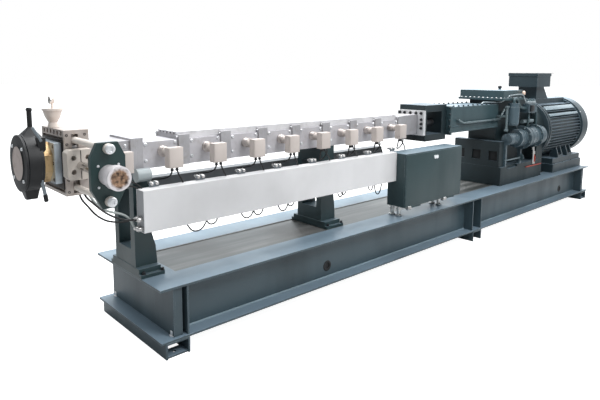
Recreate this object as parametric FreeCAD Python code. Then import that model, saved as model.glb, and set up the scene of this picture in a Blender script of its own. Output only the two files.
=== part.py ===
import FreeCAD, Part
import math
import os

# Twin screw extruder on its own H-beam bed, in millimetres.
# +X runs along the screws from the pelletising die to the drive motor, +Y to the
# far side and +Z up. The origin lies on the floor, under the middle of the bed.

# Bed
bed_length = 5726.0
bed_width = 800.0
foot_height = 88.0
beam_height = 300.0
beam_flange_width = 200.0
beam_flange = 12.0
beam_web = 9.0
end_web_inset = 85.0
end_web = 12.0
corner_plate_width = 40.0
corner_plate_inset = 22.0
stiffener = 10.0
stiffener_setback = 8.0
front_stiffener_x = 165.0
middle_foot_x = 3152.0
foot_width = 143.0
foot_wall = 10.0
foot_end_gap = 25.0
foot_pad_half = 40.0
anchor_hole_radius = 11.0
anchor_inset_x = 96.0
anchor_inset_y = 50.0
web_hole_radius = 22.0
web_hole_height = 178.0
web_holes_x = (1313.0, 5141.0)
deck_thickness = 10.0
deck_recess = 4.0
deck_strip_width = 12.0
deck_beam_width = 60.0
deck_beams_x = (1485.0, 2400.0, 3152.0, 3950.0, 4800.0)
seat = 0.3

# Posts under the barrel: upright on the discharge side, flared on the other
post_plate_width = 380.0
post_lower_plate = 20.0
post_upper_plate = 28.0
post_upper_plate_inset = 12.0
post_half_width = 125.0
post_leg = 50.0
post_tie_height = 95.0
post_head_height = 110.0
post_flare_start = 104.0
post_flare_end = 204.0
post_plate_overlap = 2.0
post_foot_taper = 8.0
front_post = {"x": 2.0, "plate": 142.0, "foot": 130.0, "top": 95.0}
middle_post = {"x": 1426.0, "plate": 168.0, "foot": 144.0, "top": 125.0}
bracket_inset = 15.0
bracket_length = 70.0
bracket_drop = 60.0
bracket_height = 60.0
support_can_radius = 36.0
support_can_length = 79.0
support_can_z = 954.0

# Screws and barrel
axis_z = 1064.0
screw_gap = 58.0
screw_radius = 36.0
barrel_pitch = 287.0
barrel_count = 9
barrel_joint = 0.4
first_flange_x = -6.0
flange_pair_length = 70.0
flange_width = 266.0
flange_height = 172.0
barrel_width = 168.0
barrel_height = 100.0
last_barrel_width = 150.0
last_barrel_height = 166.0
shell_width = 246.0
shell_gap = 2.0
shell_top = 60.0
shell_bottom = 85.5
guard_width = 216.0
guard_thickness = 14.0
guard_skirt = 10.0
guard_joint = 2.0
guard_slot_count = 5
guard_slot_width = 22.0
guard_slot_pitch = 40.0
guard_slot_height = 9.0
guard_slot_depth = 40.0

# Heater terminal boxes
terminal_length = 88.0
terminal_depth = 45.0
terminal_height = 110.0
terminal_drop = 23.0
terminal_flange_gap = 38.0
nipple_radius = 24.0
nipple_length = 77.0
nipple_rise = 26.0
nipple_inset = 26.0

# Head with the screen changer
head_axis_z = 1057.0
adapter_width = 236.0
adapter_height = 150.0
head_length = 120.0
head_width = 320.0
head_height = 324.0
head_start_x = -236.0
head_front_plate = 36.0
head_slot = 32.0
head_slot_top = 19.0
head_slot_bottom = 13.0
head_guide_recess = 30.0
head_window_width = 290.0
head_window_depth = 16.0
head_window_top = 35.0
head_window_bottom = 15.0
head_band_slots = 6
head_band_slot = 22.0
head_band_pitch = 48.0
slide_clearance = 0.5
slide_height = 170.0
slide_width = 300.0
screen_radius = 45.0
screen_offset = 75.0
coupling_width = 130.0
coupling_height = 146.0
coupling_depth = 60.0
coupling_chamfer = 14.0
coupling_back_gap = 8.0
coupling_hole_radius = 12.0
coupling_hole_pitch = 68.0
ram_axis_drop = 5.0
ram_rod_radius = 21.0
tie_rod_radius = 16.0
tie_rod_spacing = 235.0
ram_plate_y = -545.0
ram_plate_thickness = 24.0
ram_plate_half_width = 79.0
ram_plate_outline = ((47.0, 145.0), (79.0, 82.0), (79.0, -62.0), (32.0, -150.0))
ram_tube_radius = 46.0
ram_tube_bore = 40.0
ram_tube_front = 68.0
ram_tube_back = 66.0
ram_cap_radius = 54.0
ram_cap_length = 42.0
ram_end_wall = 16.0
piston_length = 26.0
piston_clearance = 0.5
piston_end_gap = 6.0
stem_radius = 13.0
stem_reach = 8.0
nut_radius = 23.0
nut_length = 26.0

# Die and pelletiser hood
die_plate_length = 36.0
die_plate_width = 250.0
die_plate_height = 200.0
die_block_radius = 108.0
die_block_length = 45.0
hood_back_length = 16.0
hood_back_radius = 132.0
hood_drum_length = 54.0
hood_drum_radius = 139.0
hood_groove_radius = 134.0
hood_groove_length = 4.0
hood_ring_length = 10.0
hood_disc_radius = 83.0
hood_disc_length = 14.0
funnel_foot_length = 88.0
funnel_setback = 4.0
funnel_foot_width = 96.0
funnel_foot_z = 1184.0
funnel_neck_z = 1232.0
spout_radius = 11.5
spout_back = 6.0
spout_top_z = 1325.0
outlet_root_length = 70.0
outlet_width = 96.0
outlet_end_length = 50.0
outlet_end_width = 36.0
outlet_end_setback = 14.0
outlet_root_z = 934.0
outlet_end_z = 875.0

# Head gauge
cup_radius = 46.0
cup_foot_radius = 27.0
cup_rim = 50.0
cup_height = 96.0
cup_rim_height = 12.0
cup_x = -330.0
cup_y = 60.0
gauge_radius = 17.0
gauge_depth = 16.0
gauge_rise = 58.0
gauge_stem_radius = 5.0

# Cable trunking, the far side's cooling manifold and the cabinet
trunk_front_y = -288.0
trunk_depth = 80.0
trunk_bottom_z = 671.0
trunk_top_z = 894.0
trunk_wall = 3.0
trunk_start_x = -19.0
manifold_height = 130.0
manifold_top_z = 852.0
manifold_start_x = 60.0
manifold_length = 2450.0
cabinet_start_x = 2082.0
cabinet_length = 782.0
cabinet_bottom_z = 470.0
cabinet_height = 418.0
cabinet_front_y = -378.0
cabinet_depth = 172.0
cabinet_wall = 3.0
cabinet_door = 14.0
door_gap = 0.5
hinge_radius = 7.0
hinge_leaf = 6.0
hinge_knuckle = 40.0
hinge_slack = 0.5
hinge_inset = 90.0
cabinet_foot_radius = 14.0
cabinet_foot_front = 88.0
cabinet_foot_back = 20.0
cabinet_foot_start = 40.0
cabinet_foot_end = 190.0
clasp_radius = 14.5
clasp_drop = 55.0
clasp_half_pitch = 14.0
clasp_depth = 10.0

# Mounting flange and lantern
mount_flange_x = 2634.0
mount_flange_length = 30.0
mount_flange_width = 278.0
mount_flange_top_z = 1181.0
mount_flange_bottom_z = 968.0
lantern_length = 318.0
lantern_width = 272.0
lantern_bottom_z = 914.0
lantern_top_z = 1226.0
lantern_window_start = 21.0
lantern_window_end = 249.0
lantern_wall = 58.0
coupling_radius = 26.0

# Gearbox
housing_flange_length = 26.0
housing_flange_rim = 14.0
housing_end_x = 3863.0
housing_width = 340.0
housing_top_z = 1195.0
housing_bottom_z = 966.0
gearbox_start_x = 3779.0
gearbox_end_x = 4696.0
gearbox_width = 544.0
gearbox_step_z = 575.0
gearbox_slot_start = 134.0
gearbox_slot_end = 351.0
gearbox_slot_height = 24.0
gearbox_slot_depth = 30.0
gearbox_front_length = 84.0
gearbox_front_width = 500.0
gearbox_front_top_z = 830.0
gearbox_panel_depth = 12.0
gearbox_panel_bottom_z = 635.0
gearbox_panel_top_z = 732.0
gearbox_panels_y = (-180.0, 0.0, 180.0)
gearbox_panel_width = 95.0
gearbox_body_width = 300.0
gearbox_body_end_x = 4553.0
gearbox_body_top_z = 1236.0
casing_arc_z = 924.0
casing_radius = 272.0
cover_start_x = 3823.0
cover_length = 390.0
cover_width = 480.0
cover_height = 97.0
cover_lip = 12.0
cover_lip_height = 22.0
breather_inset = 16.0
breather_radius = 14.0
breather_height = 36.0

# Lubrication unit on the near side of the gearbox
pump_y = -275.0
pump_z = 850.0
pump_sections = ((3863.5, 4026.0, 56.0), (4026.0, 4153.0, 88.0), (4153.0, 4168.0, 122.0),
                 (4168.0, 4423.0, 100.0), (4423.0, 4443.0, 122.0), (4443.0, 4552.7, 105.0))
pump_legs_x = (3877.0, 4193.0)
pump_leg_length = 24.0
pump_leg_width = 36.0
filter_x = 3970.0
filter_radius = 58.0
filter_cap_radius = 52.0
filter_bottom_z = 989.0
filter_top_z = 1208.0
filter_cap = 18.0
filter_bracket_z = 1080.0
filter_bracket_height = 40.0
filter_bracket_length = 34.0
dipstick_x = 3838.0
dipstick_radius = 12.0
dipstick_knob = 20.0
dipstick_bottom_z = 936.0
dipstick_top_z = 1186.0
valve_x0 = 4233.0
valve_x1 = 4423.0
valve_z0 = 1100.0
valve_z1 = 1190.0
valve_depth = 70.0
return_pipe_x0 = 4170.0
return_pipe_x1 = 4399.0
return_pipe_z = 1010.0
return_pipe_radius = 20.0
pipe_radius = 10.0
feed_pipe_y = -195.0
feed_pipe_z = 1050.0
feed_pipe_x0 = 3181.0
feed_pipe_x1 = 3855.0
feed_pipe_rise = 97.0
feed_start_run = 77.0
feed_start_rise = 27.0
feed_clip_start = 110.0
feed_clip_end = 120.0

# Motor
motor_axis_z = 876.0
motor_radius = 330.0
motor_core_radius = 305.0
motor_start_x = 4753.0
motor_length = 857.0
motor_end_ring = 30.0
motor_fin = 8.0
motor_fin_pitch = 34.0
motor_side_fins = 8
motor_bottom_fins = 4
motor_flat_half = 110.0
motor_flat_z = 1218.0
cowl_radius = 345.0
cowl_length = 186.0
cowl_round = 30.0
bell_radius = 335.0
bell_neck_radius = 316.0
bell_flange = 16.0
pedestal_start_x = 4933.0
pedestal_length = 790.0
pedestal_width = 608.0
pedestal_step_z = 484.0
pedestal_top_z = 545.5
pedestal_inset = 14.0
cowl_clearance = 1.0
motor_feet_x = (5085.0, 5341.0)
motor_foot_length = 130.0
motor_foot_rib = 22.0
motor_foot_plate = 26.0
motor_foot_half = 290.0
motor_foot_inner = 196.0
motor_foot_rise_y = 258.0
motor_foot_rise_z = 668.0
motor_box_start_x = 4708.0
motor_box_length = 345.0
motor_box_width = 338.0
motor_box_bottom_z = 1353.0
motor_box_top_z = 1506.0
motor_box_lid = 34.0
motor_box_lip = 6.0
neck_start = 130.0
neck_top_length = 180.0
neck_foot_length = 300.0
neck_width = 212.0

bed_start = -bed_length / 2
bed_end = bed_length / 2
bed_bottom = foot_height
bed_top = foot_height + beam_height
half_bed = bed_width / 2
beam_y = half_bed - beam_flange_width / 2

os.makedirs("parts", exist_ok=True)


def at(x):
    """Place along the bed, measured from its discharge end."""
    return bed_start + x


def box(x0, x1, y0, y1, z0, z1):
    """A block between two corners."""
    return Part.makeBox(x1 - x0, y1 - y0, z1 - z0, FreeCAD.Vector(x0, y0, z0))


def rod(start, direction, radius, length):
    """A round bar from a point along a direction."""
    return Part.makeCylinder(radius, length, FreeCAD.Vector(*start), FreeCAD.Vector(*direction))


def prism(points, direction, length):
    """A straight solid on a flat outline."""
    corners = [FreeCAD.Vector(*p) for p in points]
    wire = Part.makePolygon(corners + [corners[0]])
    return Part.Face(wire).extrude(FreeCAD.Vector(*direction) * length)


def join(solids):
    """One solid out of touching or overlapping ones."""
    result = solids[0]
    if len(solids) > 1:
        result = solids[0].fuse(solids[1:])
    return result.removeSplitter()


def export(name, solids):
    """Write one node as a STEP file."""
    shape = solids[0] if len(solids) == 1 else Part.makeCompound(solids)
    shape.exportStep("parts/" + name + ".step")
    print(name, len(solids), round(shape.Volume / 1e6, 3))


# Flange plates of the bed's H-beams: the long ones run through, short ones close the ends
flange_plates = []
for z in (bed_bottom, bed_top - beam_flange):
    for side in (-1, 1):
        low = side * beam_y - beam_flange_width / 2
        plate = box(bed_start, bed_end, low, low + beam_flange_width, z, z + beam_flange)
        if z == bed_bottom:
            for x in (anchor_inset_x, bed_length - anchor_inset_x):
                plate = plate.cut(rod((at(x), side * (half_bed - anchor_inset_y), 0), (0, 0, 1),
                                      anchor_hole_radius, bed_bottom + 2 * beam_flange))
        flange_plates.append(plate)
    for x in (bed_start, bed_end - beam_flange_width):
        inner = half_bed - beam_flange_width - seat
        flange_plates.append(box(x, x + beam_flange_width, -inner, inner, z, z + beam_flange))
export("bed_flanges", flange_plates)

# Webs of the beams, with the plates that stiffen their outer sides over the feet
web_low = bed_bottom + beam_flange + seat
web_high = bed_top - beam_flange - seat
end_face = bed_end - end_web_inset
end_back = end_face - end_web
plate_y = half_bed - corner_plate_inset
webs = []
for side in (-1, 1):
    y = side * beam_y
    web = box(-end_back + seat, end_back - seat, y - beam_web / 2, y + beam_web / 2,
              web_low, web_high)
    for x in web_holes_x:
        web = web.cut(rod((at(x), y - beam_web, web_hole_height), (0, 1, 0),
                          web_hole_radius, 2 * beam_web))
    webs.append(web)
    near = side * (beam_y + beam_web / 2 + seat)
    edge = side * (half_bed - stiffener_setback)
    for x in (front_stiffener_x, middle_foot_x - foot_width / 2,
              middle_foot_x + foot_width / 2, bed_length - front_stiffener_x):
        webs.append(box(at(x) - stiffener / 2, at(x) + stiffener / 2,
                        min(near, edge), max(near, edge), web_low, web_high))
    corner = min(side * plate_y, side * (plate_y - stiffener))
    for x in (-end_back + seat, end_back - corner_plate_width - seat):
        webs.append(box(x, x + corner_plate_width, corner, corner + stiffener,
                        web_low, web_high))
for x in (-end_face, end_back):
    webs.append(box(x, x + end_web, -plate_y, plate_y, web_low, web_high))
export("bed_webs", webs)

# Deck plate between the beams, on cross members, with a strip along each edge
deck_top = bed_top - deck_recess
deck_half = half_bed - beam_flange_width - seat
member_half = beam_y - beam_web / 2 - seat
cross_members = [box(at(x) - deck_beam_width / 2, at(x) + deck_beam_width / 2,
                     -member_half, member_half, web_low, deck_top - deck_thickness - seat)
                 for x in deck_beams_x]
export("deck_cross_members", cross_members)
deck_x0 = bed_start + beam_flange_width + seat
deck = [box(deck_x0, -deck_x0, -deck_half, deck_half, deck_top - deck_thickness, deck_top)]
for side in (-1, 1):
    y0 = min(side * deck_half, side * (deck_half - deck_strip_width))
    deck.append(box(deck_x0, -deck_x0, y0, y0 + deck_strip_width, deck_top, bed_top - seat))
export("deck_plate", [join(deck)])

# Channels under the bed, legs down, with a pad round each anchor hole
feet = []
foot_inner = foot_width / 2 - foot_wall
for x in (foot_end_gap + foot_width / 2, middle_foot_x, bed_length - foot_end_gap - foot_width / 2):
    outer = box(at(x) - foot_width / 2, at(x) + foot_width / 2, -half_bed, half_bed, 0, foot_height)
    inner = box(at(x) - foot_inner, at(x) + foot_inner, -half_bed, half_bed,
                0, foot_height - foot_wall)
    channel = outer.cut(inner)
    for end in (-1, 1):
        hole_x = end * (bed_length / 2 - anchor_inset_x)
        if abs(hole_x - at(x)) < foot_width / 2:
            for side in (-1, 1):
                hole_y = side * (half_bed - anchor_inset_y)
                pad = box(at(x) - foot_inner, at(x) + foot_inner,
                          hole_y - foot_pad_half, hole_y + foot_pad_half, 0, foot_wall)
                channel = join([channel, pad]).cut(
                    rod((hole_x, hole_y, -1), (0, 0, 1), anchor_hole_radius, foot_height * 2))
    feet.append(channel)
export("foot_channels", feet)


# Posts that carry the barrel: stepped foot plates, two legs, a tie and a head
def post(sizes):
    x = at(sizes["x"])
    plates_top = bed_top + post_lower_plate + post_upper_plate
    head_top = axis_z - flange_height / 2
    inset = post_upper_plate_inset
    plate_x = x - post_plate_overlap
    plates = [box(plate_x, plate_x + sizes["plate"], -post_plate_width / 2, post_plate_width / 2,
                  bed_top, bed_top + post_lower_plate),
              box(plate_x, plate_x + sizes["plate"] - inset,
                  -post_plate_width / 2 + 2 * inset, post_plate_width / 2 - 2 * inset,
                  bed_top + post_lower_plate, plates_top)]
    outline = [(x, plates_top), (x + sizes["foot"], plates_top),
               (x + sizes["foot"] - post_foot_taper, plates_top + post_flare_start),
               (x + sizes["top"], plates_top + post_flare_end),
               (x + sizes["top"], head_top), (x, head_top)]
    column = prism([(px, -post_half_width, pz) for px, pz in outline], (0, 1, 0),
                   2 * post_half_width)
    opening = box(x, x + sizes["foot"], -post_half_width + post_leg, post_half_width - post_leg,
                  plates_top + post_tie_height, head_top - post_head_height)
    bracket_x = x + bracket_inset
    bracket_z = trunk_bottom_z + bracket_drop
    brackets = [box(bracket_x, bracket_x + bracket_length,
                    min(side * post_half_width, side * (-trunk_front_y - trunk_depth)),
                    max(side * post_half_width, side * (-trunk_front_y - trunk_depth)),
                    bracket_z, bracket_z + bracket_height) for side in (-1, 1)]
    return join(plates + [column.cut(opening)] + brackets)


export("barrel_posts", [post(front_post), post(middle_post)])
can_x = at(front_post["x"])
export("support_can", [rod((can_x, -post_half_width - support_can_radius, support_can_z),
                           (1, 0, 0), support_can_radius, support_can_length)])

# Barrels, each a block with a flange at both ends and the two screw bores through it
screw_y = screw_gap / 2
half_pair = flange_pair_length / 2
joints_x = [at(first_flange_x) + half_pair + i * barrel_pitch for i in range(barrel_count)]


def flange_block(x0, x1):
    """One half of a flange pair."""
    return box(x0, x1, -flange_width / 2, flange_width / 2,
               axis_z - flange_height / 2, axis_z + flange_height / 2)


def bored(solid, x0, x1):
    """A barrel piece with the twin screw bore through it."""
    bores = join([rod((x0 - 1, side * screw_y, axis_z), (1, 0, 0), screw_radius, x1 - x0 + 2)
                  for side in (-1, 1)])
    return solid.cut(bores)


barrels = []
for start in joints_x:
    end = start + barrel_pitch - barrel_joint
    width = barrel_width
    height = barrel_height
    ends = [flange_block(start, start + half_pair)]
    if start == joints_x[-1]:
        end = at(mount_flange_x)
        width = last_barrel_width
        height = last_barrel_height
    else:
        ends.append(flange_block(end - half_pair, end))
    core = box(start, end, -width / 2, width / 2, axis_z - height / 2, axis_z + height / 2)
    barrels.append(bored(join([core] + ends), start, end))
export("barrel_sections", barrels)

# Cast heater shells round each barrel but the last, and the guard covers over them
shells = []
guards = []
for i, start in enumerate(joints_x[:-1]):
    x0 = start + half_pair + shell_gap
    x1 = joints_x[i + 1] - half_pair - shell_gap
    outer = box(x0, x1, -shell_width / 2, shell_width / 2, axis_z - shell_bottom, axis_z + shell_top)
    core = box(x0, x1, -barrel_width / 2, barrel_width / 2,
               axis_z - barrel_height / 2, axis_z + barrel_height / 2)
    shells.append(outer.cut(core))
    if i == 0:
        continue
    guard_z = axis_z + flange_height / 2 + seat
    cover_x0 = start - half_pair
    cover_x1 = cover_x0 + barrel_pitch - guard_joint
    cover = [box(cover_x0, cover_x1, -guard_width / 2, guard_width / 2,
                 guard_z, guard_z + guard_thickness)]
    for side in (-1, 1):
        y0 = min(side * guard_width / 2, side * (guard_width / 2 - guard_skirt))
        cover.append(box(x0, x1, y0, y0 + guard_skirt, axis_z + shell_top + seat, guard_z))
    cover = join(cover)
    for n in range(guard_slot_count):
        y = (n - (guard_slot_count - 1) / 2) * guard_slot_pitch
        cover = cover.cut(box(cover_x0 - 1, cover_x0 + guard_slot_depth, y - guard_slot_width / 2,
                              y + guard_slot_width / 2, guard_z, guard_z + guard_slot_height))
    guards.append(cover)
export("heater_shells", shells)
export("heater_guards", guards)

terminal_boxes = []
for joint in joints_x:
    x1 = joint - half_pair - terminal_flange_gap
    x0 = x1 - terminal_length
    face = -shell_width / 2
    if joint == joints_x[0]:
        face = -adapter_width / 2
    back = -shell_width / 2 - nipple_length
    case = box(x0, x1, back - terminal_depth, back,
               axis_z - terminal_drop - terminal_height / 2,
               axis_z - terminal_drop + terminal_height / 2)
    nipple = rod((x0 + nipple_inset, back, axis_z - terminal_drop + nipple_rise), (0, 1, 0),
                 nipple_radius, face - back)
    terminal_boxes.append(join([case, nipple]))
export("heater_terminal_boxes", terminal_boxes)

# Head: adapter with its flange, and the screen changer's body with the slide slot
head_x0 = at(head_start_x) - head_length
head_x1 = at(head_start_x)
slot_x0 = head_x0 + head_front_plate
slot_x1 = slot_x0 + head_slot
rod_x = (slot_x0 + slot_x1) / 2
adapter = join([box(head_x1, joints_x[0], -adapter_width / 2, adapter_width / 2,
                    axis_z - adapter_height / 2, axis_z + adapter_height / 2),
                flange_block(at(first_flange_x), joints_x[0] - barrel_joint)])
export("head_adapter", [bored(adapter, head_x1, joints_x[0])])

head_z0 = head_axis_z - head_height / 2
head_z1 = head_axis_z + head_height / 2
body = box(head_x0, head_x1, -head_width / 2, head_width / 2, head_z0, head_z1)
slide_half = slide_height / 2 + slide_clearance
body = body.cut(box(slot_x0, slot_x1, -head_width / 2, head_width / 2,
                    head_axis_z - slide_half, head_axis_z + slide_half))
for side in (-1, 1):
    y0 = min(side * head_width / 2, side * (head_width / 2 - head_guide_recess))
    body = body.cut(box(slot_x0, slot_x1, y0, y0 + head_guide_recess,
                        head_z0 + head_slot_bottom, head_z1 - head_slot_top))
body = body.cut(box(head_x0, head_x0 + head_window_depth,
                    -head_window_width / 2, head_window_width / 2,
                    head_z0 + head_window_bottom, head_z1 - head_window_top))
for n in range(head_band_slots):
    y = (n - (head_band_slots - 1) / 2) * head_band_pitch
    z = head_z1 - head_window_top / 2
    body = body.cut(box(head_x0, head_x0 + head_window_depth, y - head_band_slot / 2,
                        y + head_band_slot / 2, z - head_band_slot / 2, z + head_band_slot / 2))
body = body.cut(rod((head_x0 - 1, 0, head_axis_z), (1, 0, 0), screw_radius, head_length + 2))
export("head_body", [body])

# Screen slide, its coupling and the ram that shifts it
slide = box(slot_x0 + slide_clearance, slot_x1 - slide_clearance, -slide_width / 2,
            slide_width / 2, head_axis_z - slide_height / 2, head_axis_z + slide_height / 2)
for side in (-1, 1):
    slide = slide.cut(rod((slot_x0, side * screen_offset, head_axis_z), (1, 0, 0),
                          screen_radius, head_slot))
coupling_back = -head_width / 2 - coupling_back_gap
stem = rod((rod_x, coupling_back, head_axis_z), (0, 1, 0), stem_radius,
           -slide_width / 2 - coupling_back + stem_reach)
export("screen_slide", [join([slide, stem])])
coupling_front = coupling_back - coupling_depth
coupling = box(rod_x - coupling_width / 2, rod_x + coupling_width / 2, coupling_front,
               coupling_back, head_axis_z - coupling_height / 2, head_axis_z + coupling_height / 2)
coupling = coupling.makeChamfer(coupling_chamfer,
                                [e for e in coupling.Edges if abs(e.Length - coupling_depth) < 0.01])
for a in (-1, 1):
    for b in (-1, 1):
        coupling = coupling.cut(rod((rod_x + a * coupling_hole_pitch / 2, coupling_front - 1,
                                     head_axis_z + b * coupling_hole_pitch / 2), (0, 1, 0),
                                    coupling_hole_radius, coupling_depth / 2))
export("ram_coupling", [coupling])

ram_z = head_axis_z - ram_axis_drop
plate_back = ram_plate_y + ram_plate_thickness
tube_back = plate_back + ram_tube_back
tube_front = ram_plate_y - ram_tube_front
cap_front = tube_front - ram_cap_length
piston_back = tube_back - ram_end_wall - piston_end_gap
ram = join([rod((rod_x, piston_back, ram_z), (0, 1, 0), ram_rod_radius,
                coupling_front - piston_back),
            rod((rod_x, piston_back - piston_length, ram_z), (0, 1, 0),
                ram_tube_bore - piston_clearance, piston_length)])
export("ram_rod", [ram])
tube = join([rod((rod_x, tube_front, ram_z), (0, 1, 0), ram_tube_radius, tube_back - tube_front),
             rod((rod_x, cap_front, ram_z), (0, 1, 0), ram_cap_radius, ram_cap_length)])
tube = tube.cut(rod((rod_x, cap_front + ram_end_wall, ram_z), (0, 1, 0), ram_tube_bore,
                    tube_back - cap_front - 2 * ram_end_wall))
tube = tube.cut(rod((rod_x, tube_back - ram_end_wall - 1, ram_z), (0, 1, 0),
                    ram_rod_radius + piston_clearance, ram_end_wall + 2))
export("ram_cylinder", [tube])
left = [(-a, b) for a, b in reversed(ram_plate_outline)]
ram_plate = prism([(rod_x + a, ram_plate_y, ram_z + b) for a, b in list(ram_plate_outline) + left],
                  (0, 1, 0), ram_plate_thickness)
ram_plate = ram_plate.cut(rod((rod_x, ram_plate_y - 1, ram_z), (0, 1, 0), ram_tube_radius,
                              ram_plate_thickness + 2))
rods = []
for side in (-1, 1):
    z = ram_z + side * tie_rod_spacing / 2
    ram_plate = ram_plate.cut(rod((rod_x, ram_plate_y - 1, z), (0, 1, 0), tie_rod_radius,
                                  ram_plate_thickness + 2))
    bar = rod((rod_x, ram_plate_y, z), (0, 1, 0), tie_rod_radius,
              -head_width / 2 + head_guide_recess - ram_plate_y)
    nut = rod((rod_x, ram_plate_y - nut_length, z), (0, 1, 0), nut_radius, nut_length)
    rods.append(join([bar, nut]))
export("ram_plate", [ram_plate])
export("tie_rods", rods)

# Die plate and die block in front of the head
die_x1 = head_x0 + head_window_depth
die_x0 = head_x0 - die_plate_length
die_plate = box(die_x0, die_x1, -die_plate_width / 2, die_plate_width / 2,
                head_axis_z - die_plate_height / 2, head_axis_z + die_plate_height / 2)
export("die_plate", [die_plate])
block_x0 = die_x0 - die_block_length
block = prism([(block_x0, die_block_radius * math.cos(math.radians(22.5 + 45 * n)),
                head_axis_z + die_block_radius * math.sin(math.radians(22.5 + 45 * n)))
               for n in range(8)], (1, 0, 0), die_block_length)
export("die_block", [block])


def ring_wire(points):
    """A closed outline through points."""
    corners = [FreeCAD.Vector(*p) for p in points]
    return Part.makePolygon(corners + [corners[0]])


def rectangle(x0, x1, width, z):
    """A level rectangle across the machine's middle plane."""
    return ring_wire([(x0, -width / 2, z), (x1, -width / 2, z), (x1, width / 2, z),
                      (x0, width / 2, z)])


# Pelletiser hood: a drum with a groove, a front ring, a funnel with its pipe and an outlet
back_x = block_x0
drum_x = back_x - hood_back_length
groove_x = drum_x - hood_drum_length
ring_x = groove_x - hood_groove_length
front_x = ring_x - hood_ring_length
profile = [(back_x, 0), (back_x, hood_back_radius), (drum_x, hood_back_radius),
           (drum_x, hood_drum_radius), (groove_x, hood_drum_radius),
           (groove_x, hood_groove_radius), (ring_x, hood_groove_radius),
           (ring_x, hood_drum_radius), (front_x, hood_drum_radius),
           (front_x, hood_disc_radius + seat), (ring_x, hood_disc_radius + seat), (ring_x, 0)]
drum = Part.Face(ring_wire([(x, 0, head_axis_z + r) for x, r in profile])).revolve(
    FreeCAD.Vector(0, 0, head_axis_z), FreeCAD.Vector(1, 0, 0), 360)
spout_x = drum_x - spout_back
pipe_circle = Part.Wire(Part.makeCircle(spout_radius, FreeCAD.Vector(spout_x, 0, funnel_neck_z)))
funnel_x0 = ring_x + funnel_setback
funnel = Part.makeLoft([rectangle(funnel_x0, funnel_x0 + funnel_foot_length, funnel_foot_width,
                                  funnel_foot_z), pipe_circle], True)
spout = rod((spout_x, 0, funnel_neck_z), (0, 0, 1), spout_radius, spout_top_z - funnel_neck_z)
outlet_x0 = ring_x + outlet_end_setback
outlet = Part.makeLoft([rectangle(ring_x, ring_x + outlet_root_length, outlet_width, outlet_root_z),
                        rectangle(outlet_x0, outlet_x0 + outlet_end_length,
                                  outlet_end_width, outlet_end_z)], True)
export("pelletiser_hood", [join([drum, funnel, spout, outlet])])
export("hood_disc", [rod((ring_x, 0, head_axis_z), (-1, 0, 0), hood_disc_radius,
                         hood_disc_length)])

# Cup with a gauge on top of the head
cup_profile = [(0, 0), (cup_foot_radius, 0), (cup_foot_radius * 0.8, cup_height * 0.25),
               (cup_radius * 0.8, cup_height * 0.55), (cup_radius, cup_height - cup_rim_height),
               (cup_rim, cup_height - cup_rim_height), (cup_rim, cup_height), (0, cup_height)]
cup = Part.Face(ring_wire([(at(cup_x) + r, cup_y, head_z1 + z) for r, z in cup_profile])).revolve(
    FreeCAD.Vector(at(cup_x), cup_y, 0), FreeCAD.Vector(0, 0, 1), 360)
gauge_z = head_z1 + cup_height
gauge = [rod((at(cup_x), cup_y, gauge_z), (0, 0, 1), gauge_stem_radius,
             gauge_rise - gauge_radius),
         rod((at(cup_x) - gauge_depth / 2, cup_y, gauge_z + gauge_rise - gauge_radius), (1, 0, 0),
             gauge_radius, gauge_depth)]
export("head_gauge", [join([cup] + gauge)])

# Cable trunking along the near side, open at its discharge end
trunk_end = at(cabinet_start_x)
trunk_x0 = at(trunk_start_x)
trunk = box(trunk_x0, trunk_end, trunk_front_y, trunk_front_y + trunk_depth,
            trunk_bottom_z, trunk_top_z)
trunk = trunk.cut(box(trunk_x0 - 1, trunk_end - trunk_wall, trunk_front_y + trunk_wall,
                      trunk_front_y + trunk_depth - trunk_wall,
                      trunk_bottom_z + trunk_wall, trunk_top_z - trunk_wall))
export("cable_trunking", [trunk])
manifold_x0 = at(manifold_start_x)
manifold_y0 = -trunk_front_y - trunk_depth
export("cooling_manifold", [box(manifold_x0, manifold_x0 + manifold_length, manifold_y0,
                                manifold_y0 + trunk_depth, manifold_top_z - manifold_height,
                                manifold_top_z)])

# Control cabinet with a drop-down door on a knuckle hinge, standing on four short feet
cab_x0 = at(cabinet_start_x)
cab_x1 = cab_x0 + cabinet_length
cab_z1 = cabinet_bottom_z + cabinet_height
cab_y0 = cabinet_front_y + cabinet_door + door_gap
cab_y1 = cabinet_front_y + cabinet_depth
cabinet = box(cab_x0, cab_x1, cab_y0, cab_y1, cabinet_bottom_z, cab_z1)
cabinet = cabinet.cut(box(cab_x0 + cabinet_wall, cab_x1 - cabinet_wall, cab_y0 - 1,
                          cab_y1 - cabinet_wall, cabinet_bottom_z + cabinet_wall,
                          cab_z1 - cabinet_wall))
door = box(cab_x0, cab_x1, cabinet_front_y, cabinet_front_y + cabinet_door,
           cabinet_bottom_z, cab_z1)
hinge_y = cabinet_front_y + cabinet_door / 2
hinge_z = cabinet_bottom_z - hinge_radius
body_parts = [cabinet]
door_parts = [door]
for x in (cab_x0 + hinge_inset, cab_x1 - hinge_inset - 3 * hinge_knuckle):
    for n in range(3):
        k0 = x + n * hinge_knuckle + hinge_slack / 2
        length = hinge_knuckle - hinge_slack
        knuckle = rod((k0, hinge_y, hinge_z), (1, 0, 0), hinge_radius, length)
        if n == 1:
            door_parts.append(knuckle)
            door_parts.append(box(k0, k0 + length, hinge_y - hinge_leaf / 2,
                                  hinge_y + hinge_leaf / 2, hinge_z, cabinet_bottom_z + 1))
        else:
            body_parts.append(knuckle)
            body_parts.append(box(k0, k0 + length, hinge_y, cab_y0 + 3 * hinge_leaf,
                                  hinge_z - hinge_leaf / 2, hinge_z + hinge_leaf / 2))
            body_parts.append(box(k0, k0 + length, cab_y0 + hinge_leaf, cab_y0 + 3 * hinge_leaf,
                                  hinge_z, cabinet_bottom_z + 1))
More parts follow.
